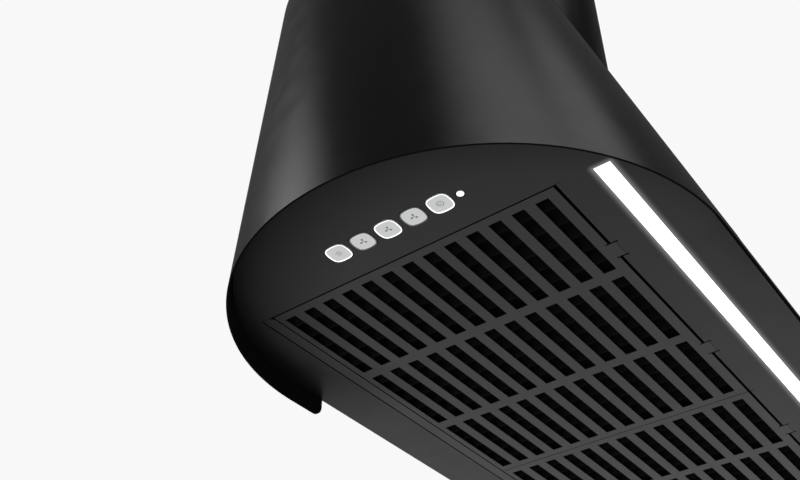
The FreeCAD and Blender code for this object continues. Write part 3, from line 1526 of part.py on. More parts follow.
def make_electrics():
    width, depth, height = size("box_width"), size("box_depth"), size("box_height")
    wall = size("box_wall")
    x = size("box_from_middle") - width / 2.0
    rear = -size("back_thick")
    z = BOTTOM + size("box_rise")
    base = new_body("control_box", x=x, y=rear, z=z)
    pad(base, rectangle(new_sketch(base), 0.0, -depth, width, 0.0), height)
    hollow = rectangle(new_sketch(base, "XZ_Plane", offset=wall), wall, wall, width - wall,
                       height - wall)
    pocket(base, hollow, depth)
    lid = box(x, rear - depth - wall, z, width, wall, height)
    keep("control_box_lid", lid)

    board_y = rear - wall - size("board_standoff")
    margin = 2.0 * wall
    board = box(x + margin, board_y, z + margin, width - 2.0 * margin, size("board_thick"),
                height - 2.0 * margin)
    pieces = [board]
    post_depth = size("board_standoff") - size("board_thick")
    for post_x in (x + margin, x + width - 2.0 * margin):
        for post_z in (z + margin, z + height - 2.0 * margin):
            pieces.append(box(post_x, board_y + size("board_thick"), post_z, margin, post_depth,
                              margin))
    relay = size("relay_size")
    terminals = size("terminal_height")
    pieces.append(box(x + width / 2.0 - relay / 2.0, board_y - relay, z + height / 2.0, relay,
                      relay, relay))
    pieces.append(box(x + 2.0 * margin, board_y - terminals, z + 2.0 * margin,
                      width - 4.0 * margin, terminals, terminals))
    keep("control_board", fuse(pieces))

    left = -size("box_from_middle")
    driver = box(left - size("driver_width") / 2.0, rear - size("driver_depth"),
                 BOTTOM + size("driver_rise"), size("driver_width"), size("driver_depth"),
                 size("driver_height"))
    keep("light_driver", driver)
    capacitor = box(left - size("capacitor_width") / 2.0, rear - size("capacitor_depth"),
                    BOTTOM + size("capacitor_rise"), size("capacitor_width"),
                    size("capacitor_depth"), size("capacitor_height"))
    keep("run_capacitor", capacitor)

    low = RIM - size("gland_nut")
    overall = size("gland_nut") + size("top_thick") + size("gland_height")
    stem = rod(GLAND_X, GLAND_Y, low, size("gland_stem"), overall)
    cap = hexagon(GLAND_X, GLAND_Y, ROOF, size("gland_radius"), size("gland_height"))
    nut = hexagon(GLAND_X, GLAND_Y, low, size("gland_radius"), size("gland_nut"))
    bore = rod(GLAND_X, GLAND_Y, low, size("gland_bore"), overall)
    keep("cord_gland", cut(fuse([stem, cap, nut]), [bore]))


# ---------------------------------------------------------------------------------------------
# Build and export
# ---------------------------------------------------------------------------------------------

def build():
    make_canopy_shell()
    make_canopy_top()
    make_back_plate()
    make_joint_strips()
    make_panel_ledge()
    make_underside_panel()
    make_panel_nuts()
    make_filter_rail()
    for side, word in ((-1.0, "left"), (1.0, "right")):
        make_filter(side, word)
        make_blower_housing(side, word)
        make_flap(side, word)
    make_filter_catches()
    make_light_bar()
    make_buttons()
    make_button_carrier()
    make_impeller()
    make_motor()
    make_outlet_adapter()
    make_housing_screws()
    make_exhaust_collar()
    make_collar_screws()
    make_chimney()
    make_electrics()


def check_and_export():
    doc.recompute()
    for obj in doc.Objects:
        if "Invalid" in obj.State or "Error" in obj.State:
            owner = obj.getParentGeoFeatureGroup()
            where = owner.Label if owner else "document"
            raise RuntimeError(f"{where}: {obj.Label} failed: {obj.State}")
    for name, obj in PARTS.items():
        shape = obj.Shape
        if shape.isNull() or not shape.isValid() or not shape.Solids:
            raise RuntimeError(f"{name} has no valid solid")
    os.makedirs("parts", exist_ok=True)
    for name, obj in PARTS.items():
        obj.Shape.exportStep(f"parts/{name}.step")
        box_of = obj.Shape.BoundBox
        print(f"{name}: {len(obj.Shape.Solids)} solid(s), volume {obj.Shape.Volume:.0f}, "
              f"z {box_of.ZMin:.1f} to {box_of.ZMax:.1f}")


build()
check_and_export()
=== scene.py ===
import json
import math

import bmesh
import bpy
from mathutils import Matrix, Vector


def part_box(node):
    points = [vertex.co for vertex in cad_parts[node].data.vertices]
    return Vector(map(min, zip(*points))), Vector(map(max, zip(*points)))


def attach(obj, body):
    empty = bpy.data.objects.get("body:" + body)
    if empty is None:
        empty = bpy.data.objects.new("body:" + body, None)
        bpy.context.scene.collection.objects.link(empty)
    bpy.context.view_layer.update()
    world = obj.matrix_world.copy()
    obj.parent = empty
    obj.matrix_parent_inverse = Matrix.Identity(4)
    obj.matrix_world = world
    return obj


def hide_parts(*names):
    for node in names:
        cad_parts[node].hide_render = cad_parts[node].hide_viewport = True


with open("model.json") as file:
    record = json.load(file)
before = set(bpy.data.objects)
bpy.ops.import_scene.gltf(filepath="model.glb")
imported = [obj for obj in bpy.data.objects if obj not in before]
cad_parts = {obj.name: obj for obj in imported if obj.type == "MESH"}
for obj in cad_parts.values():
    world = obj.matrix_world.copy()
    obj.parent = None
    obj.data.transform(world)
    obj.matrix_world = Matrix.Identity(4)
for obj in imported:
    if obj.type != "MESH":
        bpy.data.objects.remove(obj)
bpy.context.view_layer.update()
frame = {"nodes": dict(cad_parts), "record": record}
nodes = frame["nodes"]

# ---------------------------------------------------------------------------------------------
# Materials
# ---------------------------------------------------------------------------------------------


def new_material(name):
    material = bpy.data.materials.new(name)
    material.use_nodes = True
    tree = material.node_tree
    return material, tree, tree.nodes["Principled BSDF"]


def link(tree, source, target):
    tree.links.new(source, target)


def value_of(tree, source, socket):
    """Feeds a number or another node's output into a socket."""
    if isinstance(source, (int, float)):
        socket.default_value = source
    else:
        link(tree, source, socket)


def calculate(tree, operation, first, second=0.0):
    node = tree.nodes.new("ShaderNodeMath")
    node.operation = operation
    value_of(tree, first, node.inputs[0])
    value_of(tree, second, node.inputs[1])
    return node.outputs["Value"]


def object_noise(tree, scale, detail=3.0, stretch=(1.0, 1.0, 1.0)):
    """Noise that is fixed to the piece, in metres."""
    where = tree.nodes.new("ShaderNodeTexCoord")
    mapping = tree.nodes.new("ShaderNodeMapping")
    mapping.inputs["Scale"].default_value = stretch
    noise = tree.nodes.new("ShaderNodeTexNoise")
    noise.inputs["Scale"].default_value = scale
    noise.inputs["Detail"].default_value = detail
    link(tree, where.outputs["Object"], mapping.inputs["Vector"])
    link(tree, mapping.outputs["Vector"], noise.inputs["Vector"])
    return noise.outputs["Fac"]


def ramp(tree, source, low, high, start=0.3, end=0.7, smooth=False):
    node = tree.nodes.new("ShaderNodeMapRange")
    if smooth:
        node.interpolation_type = "SMOOTHSTEP"
    node.inputs["From Min"].default_value = start
    node.inputs["From Max"].default_value = end
    node.inputs["To Min"].default_value = low
    node.inputs["To Max"].default_value = high
    link(tree, source, node.inputs["Value"])
    return node.outputs["Result"]


def tint(tree, source, dark, light):
    node = tree.nodes.new("ShaderNodeMix")
    node.data_type = "RGBA"
    node.inputs["A"].default_value = (*dark, 1.0)
    node.inputs["B"].default_value = (*light, 1.0)
    link(tree, source, node.inputs["Factor"])
    return node.outputs["Result"]


def bump(tree, shader, height, strength, distance):
    node = tree.nodes.new("ShaderNodeBump")
    node.inputs["Strength"].default_value = strength
    node.inputs["Distance"].default_value = distance
    link(tree, height, node.inputs["Height"])
    link(tree, node.outputs["Normal"], shader.inputs["Normal"])


def powder_coat(name, dark, light, rough_low, rough_high, specular, grain=0.05):
    """Satin powder coat: fine grain, faint cloudiness in colour and gloss."""
    material, tree, shader = new_material(name)
    cloud = object_noise(tree, 9.0, 2.0)
    link(tree, tint(tree, ramp(tree, cloud, 0.0, 1.0), dark, light), shader.inputs["Base Color"])
    gloss = object_noise(tree, 38.0, 3.0)
    link(tree, ramp(tree, gloss, rough_low, rough_high), shader.inputs["Roughness"])
    shader.inputs["Specular IOR Level"].default_value = specular
    bump(tree, shader, object_noise(tree, 1900.0, 2.0), grain, 0.0002)
    return material


def metal(name, colour, rough_low, rough_high, stretch=(1.0, 1.0, 1.0), spangle=0.0):
    material, tree, shader = new_material(name)
    shader.inputs["Metallic"].default_value = 1.0
    dark = tuple(0.82 * c for c in colour)
    grain = object_noise(tree, 260.0, 4.0, stretch)
    link(tree, tint(tree, ramp(tree, grain, 0.0, 1.0), dark, colour), shader.inputs["Base Color"])
    gloss = object_noise(tree, 60.0, 3.0, stretch)
    if spangle:
        where = tree.nodes.new("ShaderNodeTexCoord")
        cells = tree.nodes.new("ShaderNodeTexVoronoi")
        cells.inputs["Scale"].default_value = spangle
        link(tree, where.outputs["Object"], cells.inputs["Vector"])
        gloss = cells.outputs["Distance"]
    link(tree, ramp(tree, gloss, rough_low, rough_high, 0.0, 1.0), shader.inputs["Roughness"])
    return material


def plastic(name, dark, light, rough_low, rough_high, grain=0.08):
    material, tree, shader = new_material(name)
    cloud = object_noise(tree, 60.0, 3.0)
    link(tree, tint(tree, ramp(tree, cloud, 0.0, 1.0), dark, light), shader.inputs["Base Color"])
    gloss = object_noise(tree, 140.0, 2.0)
    link(tree, ramp(tree, gloss, rough_low, rough_high), shader.inputs["Roughness"])
    bump(tree, shader, object_noise(tree, 2600.0, 2.0), grain, 0.0001)
    return material


def glowing(name, strength, front_only=False):
    """An opal part lit from behind, a little uneven over its length, on its front if so asked."""
    material, tree, shader = new_material(name)
    shader.inputs["Base Color"].default_value = (0.85, 0.85, 0.85, 1.0)
    shader.inputs["Roughness"].default_value = 0.4
    shader.inputs["Emission Color"].default_value = (1.0, 1.0, 1.0, 1.0)
    glow = ramp(tree, object_noise(tree, 45.0, 2.0), 0.96 * strength, 1.04 * strength)
    if front_only:
        where = tree.nodes.new("ShaderNodeTexCoord")
        facing = tree.nodes.new("ShaderNodeSeparateXYZ")
        link(tree, where.outputs["Normal"], facing.inputs["Vector"])
        front = ramp(tree, facing.outputs["Z"], 1.0, 0.0, *GLOW_FACING)
        glow = calculate(tree, "MULTIPLY", glow, front)
    link(tree, glow, shader.inputs["Emission Strength"])
    return material


def distance_outside(tree, middle, half_x, half_y, corner):
    """How far a place on the panel lies outside a rounded oblong, in metres."""
    where = tree.nodes.new("ShaderNodeTexCoord")
    split = tree.nodes.new("ShaderNodeSeparateXYZ")
    link(tree, where.outputs["Object"], split.inputs["Vector"])
    squares = []
    for axis, centre, half in (("X", middle.x, half_x), ("Y", middle.y, half_y)):
        offset = calculate(tree, "ABSOLUTE", calculate(tree, "SUBTRACT", split.outputs[axis], centre))
        beyond = calculate(tree, "MAXIMUM", calculate(tree, "SUBTRACT", offset, half - corner), 0.0)
        squares.append(calculate(tree, "MULTIPLY", beyond, beyond))
    reach = calculate(tree, "SQRT", calculate(tree, "ADD", squares[0], squares[1]))
    return calculate(tree, "SUBTRACT", reach, corner)


def half_sizes(node):
    low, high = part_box(node)
    return (low + high) / 2.0, (high.x - low.x) / 2.0, (high.y - low.y) / 2.0


def add_glow(material, node, reach, strength):
    """Painted light on the panel round a lit part, as if it scattered there."""
    tree = material.node_tree
    middle, half_x, half_y = half_sizes(node)
    away = distance_outside(tree, middle, half_x, half_y, 0.0)
    near = ramp(tree, away, 1.0, 0.0, 0.0, reach)
    glow = calculate(tree, "MULTIPLY", calculate(tree, "POWER", near, GLOW_FALL), strength)
    shader = tree.nodes["Principled BSDF"]
    shader.inputs["Emission Color"].default_value = (1.0, 1.0, 1.0, 1.0)
    link(tree, glow, shader.inputs["Emission Strength"])


def paint_shade_on_shine(material, share):
    """Lets a share, from 0 to 1, of the surface's shine through: painted shade where the share is low.
    """
    shader = material.node_tree.nodes["Principled BSDF"]
    full = shader.inputs["Specular IOR Level"].default_value
    link(material.node_tree, calculate(material.node_tree, "MULTIPLY", share, full),
         shader.inputs["Specular IOR Level"])


def outer_side(tree):
    """1 on the shell's outer side, 0 on its cut edge and inside, where no light reaches: the mask of a
    painted shade that takes their shine away.
    """
    middle, half_x, half_y = half_sizes("canopy_shell")
    where = tree.nodes.new("ShaderNodeTexCoord")
    place = tree.nodes.new("ShaderNodeSeparateXYZ")
    facing = tree.nodes.new("ShaderNodeSeparateXYZ")
    link(tree, where.outputs["Object"], place.inputs["Vector"])
    link(tree, where.outputs["Normal"], facing.inputs["Vector"])
    straight = half_x - half_y
    spine = calculate(tree, "MAXIMUM", calculate(tree, "MINIMUM", place.outputs["X"], straight),
                      -straight)
    from_spine = calculate(tree, "SUBTRACT", place.outputs["X"], spine)
    from_middle = calculate(tree, "SUBTRACT", place.outputs["Y"], middle.y)
    outward = calculate(tree, "ADD", calculate(tree, "MULTIPLY", from_spine, facing.outputs["X"]),
                        calculate(tree, "MULTIPLY", from_middle, facing.outputs["Y"]))
    return ramp(tree, outward, 0.0, 1.0, 0.02, 0.06)


def skirt_shade(tree):
    """How much light reaches the underside, as painted shade: the skirt keeps it from the rear of both
    ends.
    """
    middle, half_x, half_y = half_sizes("canopy_shell")
    lit = middle - Vector((0.0, SHADE_SHIFT, 0.0))
    away = distance_outside(tree, lit, half_x - SHADE_SHORTER, half_y, half_y)
    near_end = ramp(tree, away, 1.0, SHADE_LEAST, -SHADE_START, SHADE_END)
    where = tree.nodes.new("ShaderNodeTexCoord")
    place = tree.nodes.new("ShaderNodeSeparateXYZ")
    link(tree, where.outputs["Object"], place.inputs["Vector"])
    along = calculate(tree, "ABSOLUTE", place.outputs["X"])
    return calculate(tree, "MAXIMUM", near_end, ramp(tree, along, 1.0, 0.0, *SHADE_FREE))


def button_cap(name):
    """Satin grey cap, a little lighter along its rim: painted light, as from the ring."""
    material, tree, shader = new_material(f"{name}_cap")
    middle, half_x, half_y = half_sizes(name)
    inside = distance_outside(tree, middle, half_x, half_y, CAP_CORNER)
    # painted light along the cap's rim
    rim = ramp(tree, inside, 0.0, 1.0, -CAP_RIM_LIGHT, 0.0, smooth=True)
    link(tree, tint(tree, rim, (0.66, 0.67, 0.67), (0.8, 0.81, 0.81)), shader.inputs["Base Color"])
    link(tree, ramp(tree, object_noise(tree, 300.0, 2.0), 0.32, 0.4), shader.inputs["Roughness"])
    bump(tree, shader, object_noise(tree, 2600.0, 2.0), 0.05, 0.0001)
    return material


CAP_CORNER = 0.004          # lengths in metres down to SHADE_FREE
CAP_RIM_LIGHT = 0.0011
GLOW_FACING = -0.8, -0.5    # how far down a face points: full glow up to the first, none at the second
GLOW_FALL = 2.2
SHADE_SHIFT = 0.033         # how far the lit part of the underside lies in front of its outline
SHADE_SHORTER = 0.008       # and how much it falls short of each end
SHADE_START = 0.06          # the shade grows from this far inside it
SHADE_END = 0.02            # to this far outside it
SHADE_LEAST = 0.1
SHADE_FREE = 0.15, 0.29     # from the middle: no shade up to the first, all of it after the second
LIT_BUTTONS = ["button_lamp", "button_speed_medium", "button_timer"]
DIM_BUTTONS = ["button_speed_low", "button_speed_high"]
BLACK_COAT = (0.0034, 0.0036, 0.0038), (0.0042, 0.0044, 0.0047)

COAT = powder_coat("satin_black_coat", *BLACK_COAT, 0.22, 0.27, 0.5)
SHELL = powder_coat("shell_satin_black", *BLACK_COAT, 0.22, 0.27, 0.5)
# painted shade: the shell's cut edge and inside lose their shine
paint_shade_on_shine(SHELL, outer_side(SHELL.node_tree))
# half the shine of the shell's coat, so the chimney looks darker
CHIMNEY = powder_coat("chimney_satin_black", *BLACK_COAT, 0.22, 0.27, 0.25)
PANEL = powder_coat("panel_satin_black", *BLACK_COAT, 0.36, 0.42, 0.26, 0.08)
# painted shade of the skirt on the panel's shine
paint_shade_on_shine(PANEL, skirt_shade(PANEL.node_tree))
# painted glow on the panel round the light bar
add_glow(PANEL, "light_diffuser", 0.006, 0.22)
FILTER = powder_coat("filter_satin_black", *BLACK_COAT, 0.34, 0.4, 0.33, 0.08)
# painted shade of the skirt on the filters' shine
paint_shade_on_shine(FILTER, skirt_shade(FILTER.node_tree))
# painted shade: the aluminium foil behind the slots is made near black and without shine, as the slots
# shade it
FOIL = plastic("shaded_foil", (0.0036, 0.0037, 0.0037), (0.0048, 0.0049, 0.0049), 0.8, 0.9)
FOIL.node_tree.nodes["Principled BSDF"].inputs["Specular IOR Level"].default_value = 0.0
GALVANIZED = metal("galvanized_sheet", (0.46, 0.47, 0.49), 0.28, 0.5, spangle=95.0)
STEEL = metal("zinc_plated_steel", (0.55, 0.55, 0.56), 0.2, 0.34)
ALUMINIUM = metal("aluminium_extrusion", (0.62, 0.62, 0.64), 0.24, 0.4, (0.08, 1.0, 1.0))
# painted shade: the grids inside the filters are made near black
GRID = metal("shaded_grid", (0.02, 0.02, 0.021), 0.4, 0.6)
BLACK = plastic("black_moulding", (0.010, 0.010, 0.011), (0.014, 0.014, 0.015), 0.42, 0.55)
BOARD = plastic("circuit_board", (0.01, 0.09, 0.04), (0.014, 0.12, 0.055), 0.35, 0.5)
RING_DIM = plastic("light_ring_unlit", (0.11, 0.11, 0.112), (0.14, 0.14, 0.142), 0.3, 0.4)
RING_LIT = glowing("light_ring_lit", 0.9, front_only=True)
LIGHT = glowing("light_bar_lit", 1.6)
LENS = glowing("indicator_lit", 0.9, front_only=True)
PRINT = plastic("printed_symbol", (0.16, 0.16, 0.165), (0.2, 0.2, 0.205), 0.5, 0.6)

FINISH = {
    "canopy_shell": SHELL,
    "chimney_lower": CHIMNEY, "chimney_upper": CHIMNEY,
    "underside_panel": PANEL,
    "filter_rail": FILTER, "filter_left_tray": FILTER, "filter_right_tray": FILTER,
    "filter_left_mesh": FOIL, "filter_right_mesh": FOIL,
    "filter_left_grid": GRID, "filter_right_grid": GRID, "light_channel": ALUMINIUM,
    "light_diffuser": LIGHT, "indicator_lens": LENS,
}
for name in LIT_BUTTONS:
    FINISH[f"{name}_ring"] = RING_LIT
for name in DIM_BUTTONS:
    FINISH[f"{name}_ring"] = RING_DIM
for name in LIT_BUTTONS + DIM_BUTTONS:
    FINISH[name] = button_cap(name)
BY_SLOT = {
    "satin_black_steel": COAT, "panel_black_steel": COAT, "galvanized_steel": GALVANIZED,
    "aluminium_mesh": ALUMINIUM, "spring_steel": STEEL, "opal_diffuser": RING_DIM,
    "button_grey": RING_DIM, "black_plastic": BLACK, "circuit_board": BOARD,
    "motor_casting": STEEL,
}
SLOT_OF = {s["node"]: s["material_slot"] for s in frame["record"]["subparts"]}

for name, node in nodes.items():
    node.data.materials.clear()
    node.data.materials.append(FINISH.get(name, BY_SLOT[SLOT_OF[name]]))

# ---------------------------------------------------------------------------------------------
# Filter faces: the cassettes' trays with their front row of slots and fitted edges
# ---------------------------------------------------------------------------------------------

MM = 0.001
SLOT_Y = -302.1, -291.6     # front row of slots; all lengths here are in millimetres
SLOT_END_MARGIN = 8.3
SLOT_BAR = 11.25
SLOT_ROWS = 3
SHEET = 1.2
EDGE = SHEET + 0.1          # catches both sides of a sheet
TRAY_FRONT = -311.9
TRAY_RELIEF = -309.9        # root of the reliefs beside the tongues
TRAY_REAR = -55.1
END_INSET = 0.6             # how far the face's edges move: outer end,
FRONT_INSET = 1.2           # front edge, inwards,
REAR_OUTSET = 0.9           # and rear edge, outwards
OPENING_FRONT = -316.7
LIP_EDGE = -313.2           # the panel's edge in front of the filters
LIP_OVERLAP = 0.1
TONGUE_OFFSET = 87.5        # tongue's middle from the tray's end
TONGUE_CLEAR = 9.8          # half a tongue and the relief beside it
RAIL_FRONT = -54.5, -53.0   # the solid's edge, and where it lies here
RAIL_FRONT_END = -48.0
RAIL_REAR = -42.8, -43.5


def add_block(bm, low, high):
    """A rectangular block between two corners, in millimetres."""
    size = [(h - l) * MM for l, h in zip(low, high)]
    middle = [(h + l) / 2.0 * MM for l, h in zip(low, high)]
    matrix = Matrix.Translation(middle) @ Matrix.Diagonal((*size, 1.0))
    bmesh.ops.create_cube(bm, size=1.0, matrix=matrix)


def new_piece(name, bm, material, body, replaced=None):
    """Makes a piece of a mesh under construction and says what it rides on."""
    mesh = bpy.data.meshes.new(name)
    bm.to_mesh(mesh)
    bm.free()
    mesh.materials.append(material)
    piece = bpy.data.objects.new(name, mesh)
    bpy.context.scene.collection.objects.link(piece)
    if replaced:
        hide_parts(replaced)
    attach(piece, body)
    return piece


def copy_of(node, move):
    """A copy of a solid's mesh whose points, in millimetres, are moved a little."""
    bm = bmesh.new()
    bm.from_mesh(node.data)
    bmesh.ops.remove_doubles(bm, verts=bm.verts, dist=1e-6)
    for vert in bm.verts:
        vert.co = move(vert.co / MM) * MM
    return bm


def cut_away(bm, cuts):
    """One mesh less another."""
    work = []
    for content in (bm, cuts):
        mesh = bpy.data.meshes.new("work")
        content.to_mesh(mesh)
        content.free()
        work.append(bpy.data.objects.new("work", mesh))
        bpy.context.scene.collection.objects.link(work[-1])
    boolean = work[0].modifiers.new("cut", "BOOLEAN")
    boolean.operation = "DIFFERENCE"
    boolean.solver = "EXACT"
    boolean.object = work[1]
    graph = bpy.context.evaluated_depsgraph_get()
    shaped = bpy.data.meshes.new_from_object(work[0].evaluated_get(graph))
    result = bmesh.new()
    result.from_mesh(shaped)
    for used in work:
        bpy.data.objects.remove(used)
    return result


def filter_face(word):
    """A tray with the front slot of each row cut, and its edges moved to leave even gaps."""
    node = nodes[f"filter_{word}_tray"]
    low, high = (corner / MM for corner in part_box(node.name))
    outward, outer = (-1.0, low.x) if word == "left" else (1.0, high.x)

    def fitted(point):
        if abs(point.x - outer) < EDGE:
            point.x -= outward * END_INSET
        if abs(point.y - TRAY_REAR) < EDGE:
            point.y += REAR_OUTSET
        if TRAY_FRONT - EDGE < point.y < TRAY_RELIEF + 0.1:
            point.y += FRONT_INSET
        return point

    cuts = bmesh.new()
    run = (high.x - low.x - 2.0 * SLOT_END_MARGIN - SLOT_BAR * (SLOT_ROWS - 1)) / SLOT_ROWS
    for i in range(SLOT_ROWS):
        start = low.x + SLOT_END_MARGIN + i * (run + SLOT_BAR)
        add_block(cuts, (start, SLOT_Y[0], low.z - SHEET),
                  (start + run, SLOT_Y[1], low.z + 2.0 * SHEET))
    new_piece(f"filter_{word}_face", cut_away(copy_of(node, fitted), cuts), FILTER,
              f"filter_{word}", node.name)


def panel_lip(word):
    """The panel's edge in front of a filter, cut away round the filter's tongues."""
    low, high = (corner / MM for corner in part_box(f"filter_{word}_tray"))
    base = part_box("underside_panel")[0].z / MM
    near, far = low.x + TONGUE_OFFSET, high.x - TONGUE_OFFSET
    start = low.x - SHEET if word == "left" else low.x
    end = high.x if word == "left" else high.x + SHEET
    bm = bmesh.new()
    for a, b in ((start, near - TONGUE_CLEAR), (near + TONGUE_CLEAR, far - TONGUE_CLEAR),
                 (far + TONGUE_CLEAR, end)):
        add_block(bm, (a, OPENING_FRONT - LIP_OVERLAP, base), (b, LIP_EDGE, base + SHEET))
    new_piece(f"panel_lip_{word}", bm, PANEL, "canopy")


def fitted_rail(point):
    """The rail, a little narrower at both edges."""
    if point.y < RAIL_FRONT_END:
        reach = (RAIL_FRONT_END - point.y) / (RAIL_FRONT_END - RAIL_FRONT[0])
        point.y += reach * (RAIL_FRONT[1] - RAIL_FRONT[0])
    elif abs(point.y - RAIL_REAR[0]) < EDGE:
        point.y += RAIL_REAR[1] - RAIL_REAR[0]
    return point


for word in ("left", "right"):
    filter_face(word)
    panel_lip(word)
new_piece("filter_rail_face", copy_of(nodes["filter_rail"], fitted_rail), FILTER,
          "canopy", "filter_rail")

# ---------------------------------------------------------------------------------------------
# Buttons: caps that lie a little inside their narrow rings, and the small indicator lens
# ---------------------------------------------------------------------------------------------

PANEL_FACE = -282.0
CAP_SUNK = 1.15             # how much deeper a cap's front lies than its solid's
RING_FRONT = -282.5
RING_SLOPE = 0.2            # how much deeper a ring's inner edge lies than its outer one
RING_NARROWER = 0.35        # at its outer edge
RING_TIGHTER = 0.25         # at its inner edge, towards the cap
RING_MIDDLE = 8.85          # between both edges
RING_POWER = 3.0            # of the rounded square that both edges follow
LENS_SHARE = 0.84
PRINT_THICK = 0.04


def middle_of(name):
    low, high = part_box(name)
    return (low + high) / 2.0 / MM


def sunk_cap(point):
    if point.z < PANEL_FACE:
        point.z += CAP_SUNK
    return point


def ring_mover(middle):
    """Moves the points of a ring so that it is narrower and slopes inwards."""
    def slim(point):
        x, y = point.x - middle.x, point.y - middle.y
        outline = (abs(x) ** RING_POWER + abs(y) ** RING_POWER) ** (1.0 / RING_POWER)
        outer = outline > RING_MIDDLE
        share = 1.0 - (RING_NARROWER if outer else RING_TIGHTER) / math.hypot(x, y)
        rise = RING_SLOPE if not outer and point.z < RING_FRONT + 0.1 else 0.0
        return Vector((middle.x + x * share, middle.y + y * share, point.z + rise))
    return slim


def lens_mover(middle):
    """Moves the points of the lens so that it is smaller."""
    def slim(point):
        return Vector((middle.x + (point.x - middle.x) * LENS_SHARE,
                       middle.y + (point.y - middle.y) * LENS_SHARE, point.z))
    return slim


for name in LIT_BUTTONS + DIM_BUTTONS:
    new_piece(f"{name}_key", copy_of(nodes[name], sunk_cap), FINISH[name],
              name, name)
    ring = f"{name}_ring"
    new_piece(f"{ring}_band", copy_of(nodes[ring], ring_mover(middle_of(ring))), FINISH[ring],
              "canopy", ring)
lens = "indicator_lens"
new_piece("indicator_dot", copy_of(nodes[lens], lens_mover(middle_of(lens))), LENS,
          "canopy", lens)

# ---------------------------------------------------------------------------------------------
# Symbols printed on the caps, in millimetres from the middle of each cap
# ---------------------------------------------------------------------------------------------


def add_disc(bm, x, y, radius, sides=20):
    ring = bmesh.ops.create_circle(bm, cap_ends=True, radius=radius * MM, segments=sides)
    bmesh.ops.translate(bm, verts=ring["verts"], vec=(x * MM, y * MM, 0.0))


def add_band(bm, radius, width, sides=32):
    """A flat ring about the middle."""
    rims = []
    for reach in (radius - width / 2.0, radius + width / 2.0):
        made = bmesh.ops.create_circle(bm, cap_ends=False, radius=reach * MM, segments=sides)
        rims.append(made["verts"])
    inner, outer = rims
    for i in range(sides):
        j = (i + 1) % sides
        bm.faces.new((inner[i], inner[j], outer[j], outer[i]))


def add_bar(bm, angle, start, end, width):
    """A straight stroke along a direction from the middle."""
    along = Vector((math.cos(angle), math.sin(angle), 0.0))
    across = Vector((-along.y, along.x, 0.0)) * width / 2.0
    points = [along * start + across, along * end + across,
              along * end - across, along * start - across]
    bm.faces.new([bm.verts.new(point * MM) for point in points])


def draw_lamp(bm):
    add_band(bm, 1.35, 0.45)
    for i in range(8):
        angle = math.tau * i / 8.0
        add_disc(bm, 2.6 * math.cos(angle), 2.6 * math.sin(angle), 0.3, 12)


def draw_fan(bm):
    add_disc(bm, 0.0, 0.0, 0.42)
    for i in range(3):
        angle = math.tau * i / 3.0 + math.radians(74.0)
        add_disc(bm, 2.15 * math.cos(angle), 2.15 * math.sin(angle), 0.92)
        add_bar(bm, angle + 0.25, 0.5, 1.7, 0.4)


def draw_timer(bm):
    add_band(bm, 2.5, 0.5)
    add_bar(bm, math.radians(90.0), -0.25, 1.6, 0.5)
    add_bar(bm, math.radians(-20.0), 0.0, 1.3, 0.5)


SYMBOLS = {
    "button_lamp": draw_lamp, "button_speed_low": draw_fan, "button_speed_medium": draw_fan,
    "button_speed_high": draw_fan, "button_timer": draw_timer,
}

for name, draw in SYMBOLS.items():
    bm = bmesh.new()
    draw(bm)
    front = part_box(name)[0].z / MM + CAP_SUNK - PRINT_THICK
    middle = middle_of(name)
    bmesh.ops.translate(bm, verts=bm.verts, vec=Vector((middle.x, middle.y, front)) * MM)
    new_piece(f"{name}_symbol", bm, PRINT, name)

# ---------------------------------------------------------------------------------------------
# Stage, light and camera
# ---------------------------------------------------------------------------------------------

FLOOR_Z = -6.0      # low enough for a camera below the object
FLOOR_REACH = 21.5  # half its side
PALE = 0.94         # how light the backdrop looks
PLAIN = 1.0         # light that falls on the object from all sides
CEILING = 0.01      # the studio above the backdrop, as glossy surfaces see it
HORIZON = 6.0, 26.0     # elevations between which one turns into the other
SOFT_BOXES = [      # azimuth, elevation, full within, gone beyond (degrees), strength
    (119.6, 32.7, 2.0, 24.7, 2.76),
    (-53.1, 63.0, 0.0, 11.2, 0.58),
    (-114.2, 57.9, 3.0, 27.7, 1.06),
    (43.5, 57.3, 4.0, 57.4, 0.06),
]

floor_mesh = bpy.data.meshes.new("floor")
floor_bm = bmesh.new()
bmesh.ops.create_grid(floor_bm, x_segments=1, y_segments=1, size=FLOOR_REACH)
floor_bm.to_mesh(floor_mesh)
floor_bm.free()
floor = bpy.data.objects.new("floor", floor_mesh)
bpy.context.scene.collection.objects.link(floor)
floor.location = (0.0, 0.0, FLOOR_Z)
floor_material, floor_tree, floor_shader = new_material("pale_floor")
floor_shader.inputs["Base Color"].default_value = (0.86, 0.86, 0.86, 1.0)
floor_shader.inputs["Roughness"].default_value = 0.9
floor_mesh.materials.append(floor_material)

world = bpy.data.worlds.new("studio")
bpy.context.scene.world = world
world.use_nodes = True
tree = world.node_tree
tree.nodes.clear()
heading = tree.nodes.new("ShaderNodeTexCoord").outputs["Generated"]


def direction(azimuth, elevation):
    a, e = math.radians(azimuth), math.radians(elevation)
    return Vector((math.cos(e) * math.cos(a), math.cos(e) * math.sin(a), math.sin(e)))


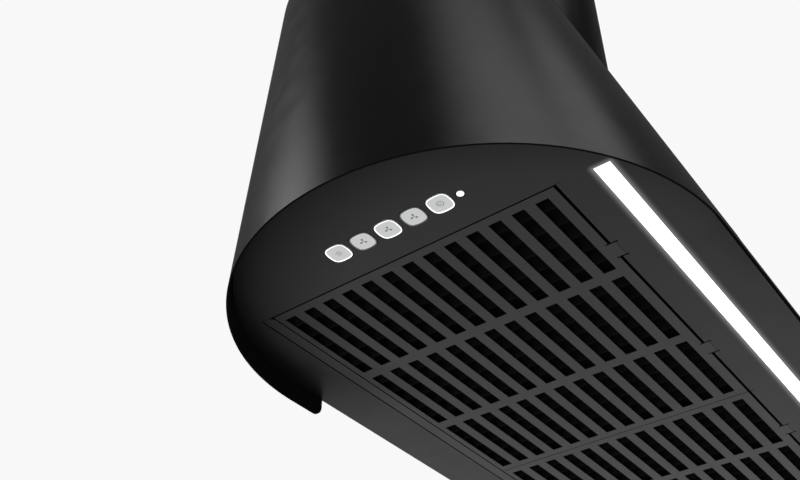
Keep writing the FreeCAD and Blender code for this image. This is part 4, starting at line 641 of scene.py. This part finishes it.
def soft_box(azimuth, elevation, inner, outer, strength):
    """A round soft box, seen in a direction: full to its inner angle, gone at its outer one."""
    facing = tree.nodes.new("ShaderNodeVectorMath")
    facing.operation = "DOT_PRODUCT"
    link(tree, heading, facing.inputs[0])
    facing.inputs[1].default_value = direction(azimuth, elevation)
    return ramp(tree, facing.outputs["Value"], 0.0, strength,
                math.cos(math.radians(outer)), math.cos(math.radians(inner)), smooth=True)


def background(strength):
    node = tree.nodes.new("ShaderNodeBackground")
    node.inputs["Color"].default_value = (1.0, 1.0, 1.0, 1.0)
    value_of(tree, strength, node.inputs["Strength"])
    return node.outputs["Background"]


def choose(fac, first, second):
    node = tree.nodes.new("ShaderNodeMixShader")
    link(tree, fac, node.inputs["Fac"])
    link(tree, first, node.inputs[1])
    link(tree, second, node.inputs[2])
    return node.outputs["Shader"]


height = tree.nodes.new("ShaderNodeSeparateXYZ")
link(tree, heading, height.inputs["Vector"])
studio = ramp(tree, height.outputs["Z"], PALE, CEILING, *(math.sin(math.radians(e)) for e in HORIZON),
              smooth=True)
for place in SOFT_BOXES:
    studio = calculate(tree, "ADD", studio, soft_box(*place))

path = tree.nodes.new("ShaderNodeLightPath")
seen = calculate(tree, "MAXIMUM", path.outputs["Is Camera Ray"], path.outputs["Is Transmission Ray"])
light = choose(path.outputs["Is Glossy Ray"], background(PLAIN), background(studio))
output = tree.nodes.new("ShaderNodeOutputWorld")
link(tree, choose(seen, light, background(PALE)), output.inputs["Surface"])

camera_data = bpy.data.cameras.new("photo_camera")
camera_data.lens = 45.0
camera_data.sensor_width = 36.0
camera_data.clip_start = 0.01
camera = bpy.data.objects.new("photo_camera", camera_data)
bpy.context.scene.collection.objects.link(camera)
forward = Vector((0.617, 0.468, 0.6325)).normalized()
up = Vector((-0.5037, -0.3826, 0.7745))
right = forward.cross(up).normalized()
up = right.cross(forward).normalized()
turn = Matrix((right, up, -forward)).transposed().to_4x4()
camera.matrix_world = Matrix.Translation((-0.80109, -0.53139, -0.73847)) @ turn
bpy.context.scene.camera = camera

bpy.context.scene.view_settings.view_transform = "Standard"
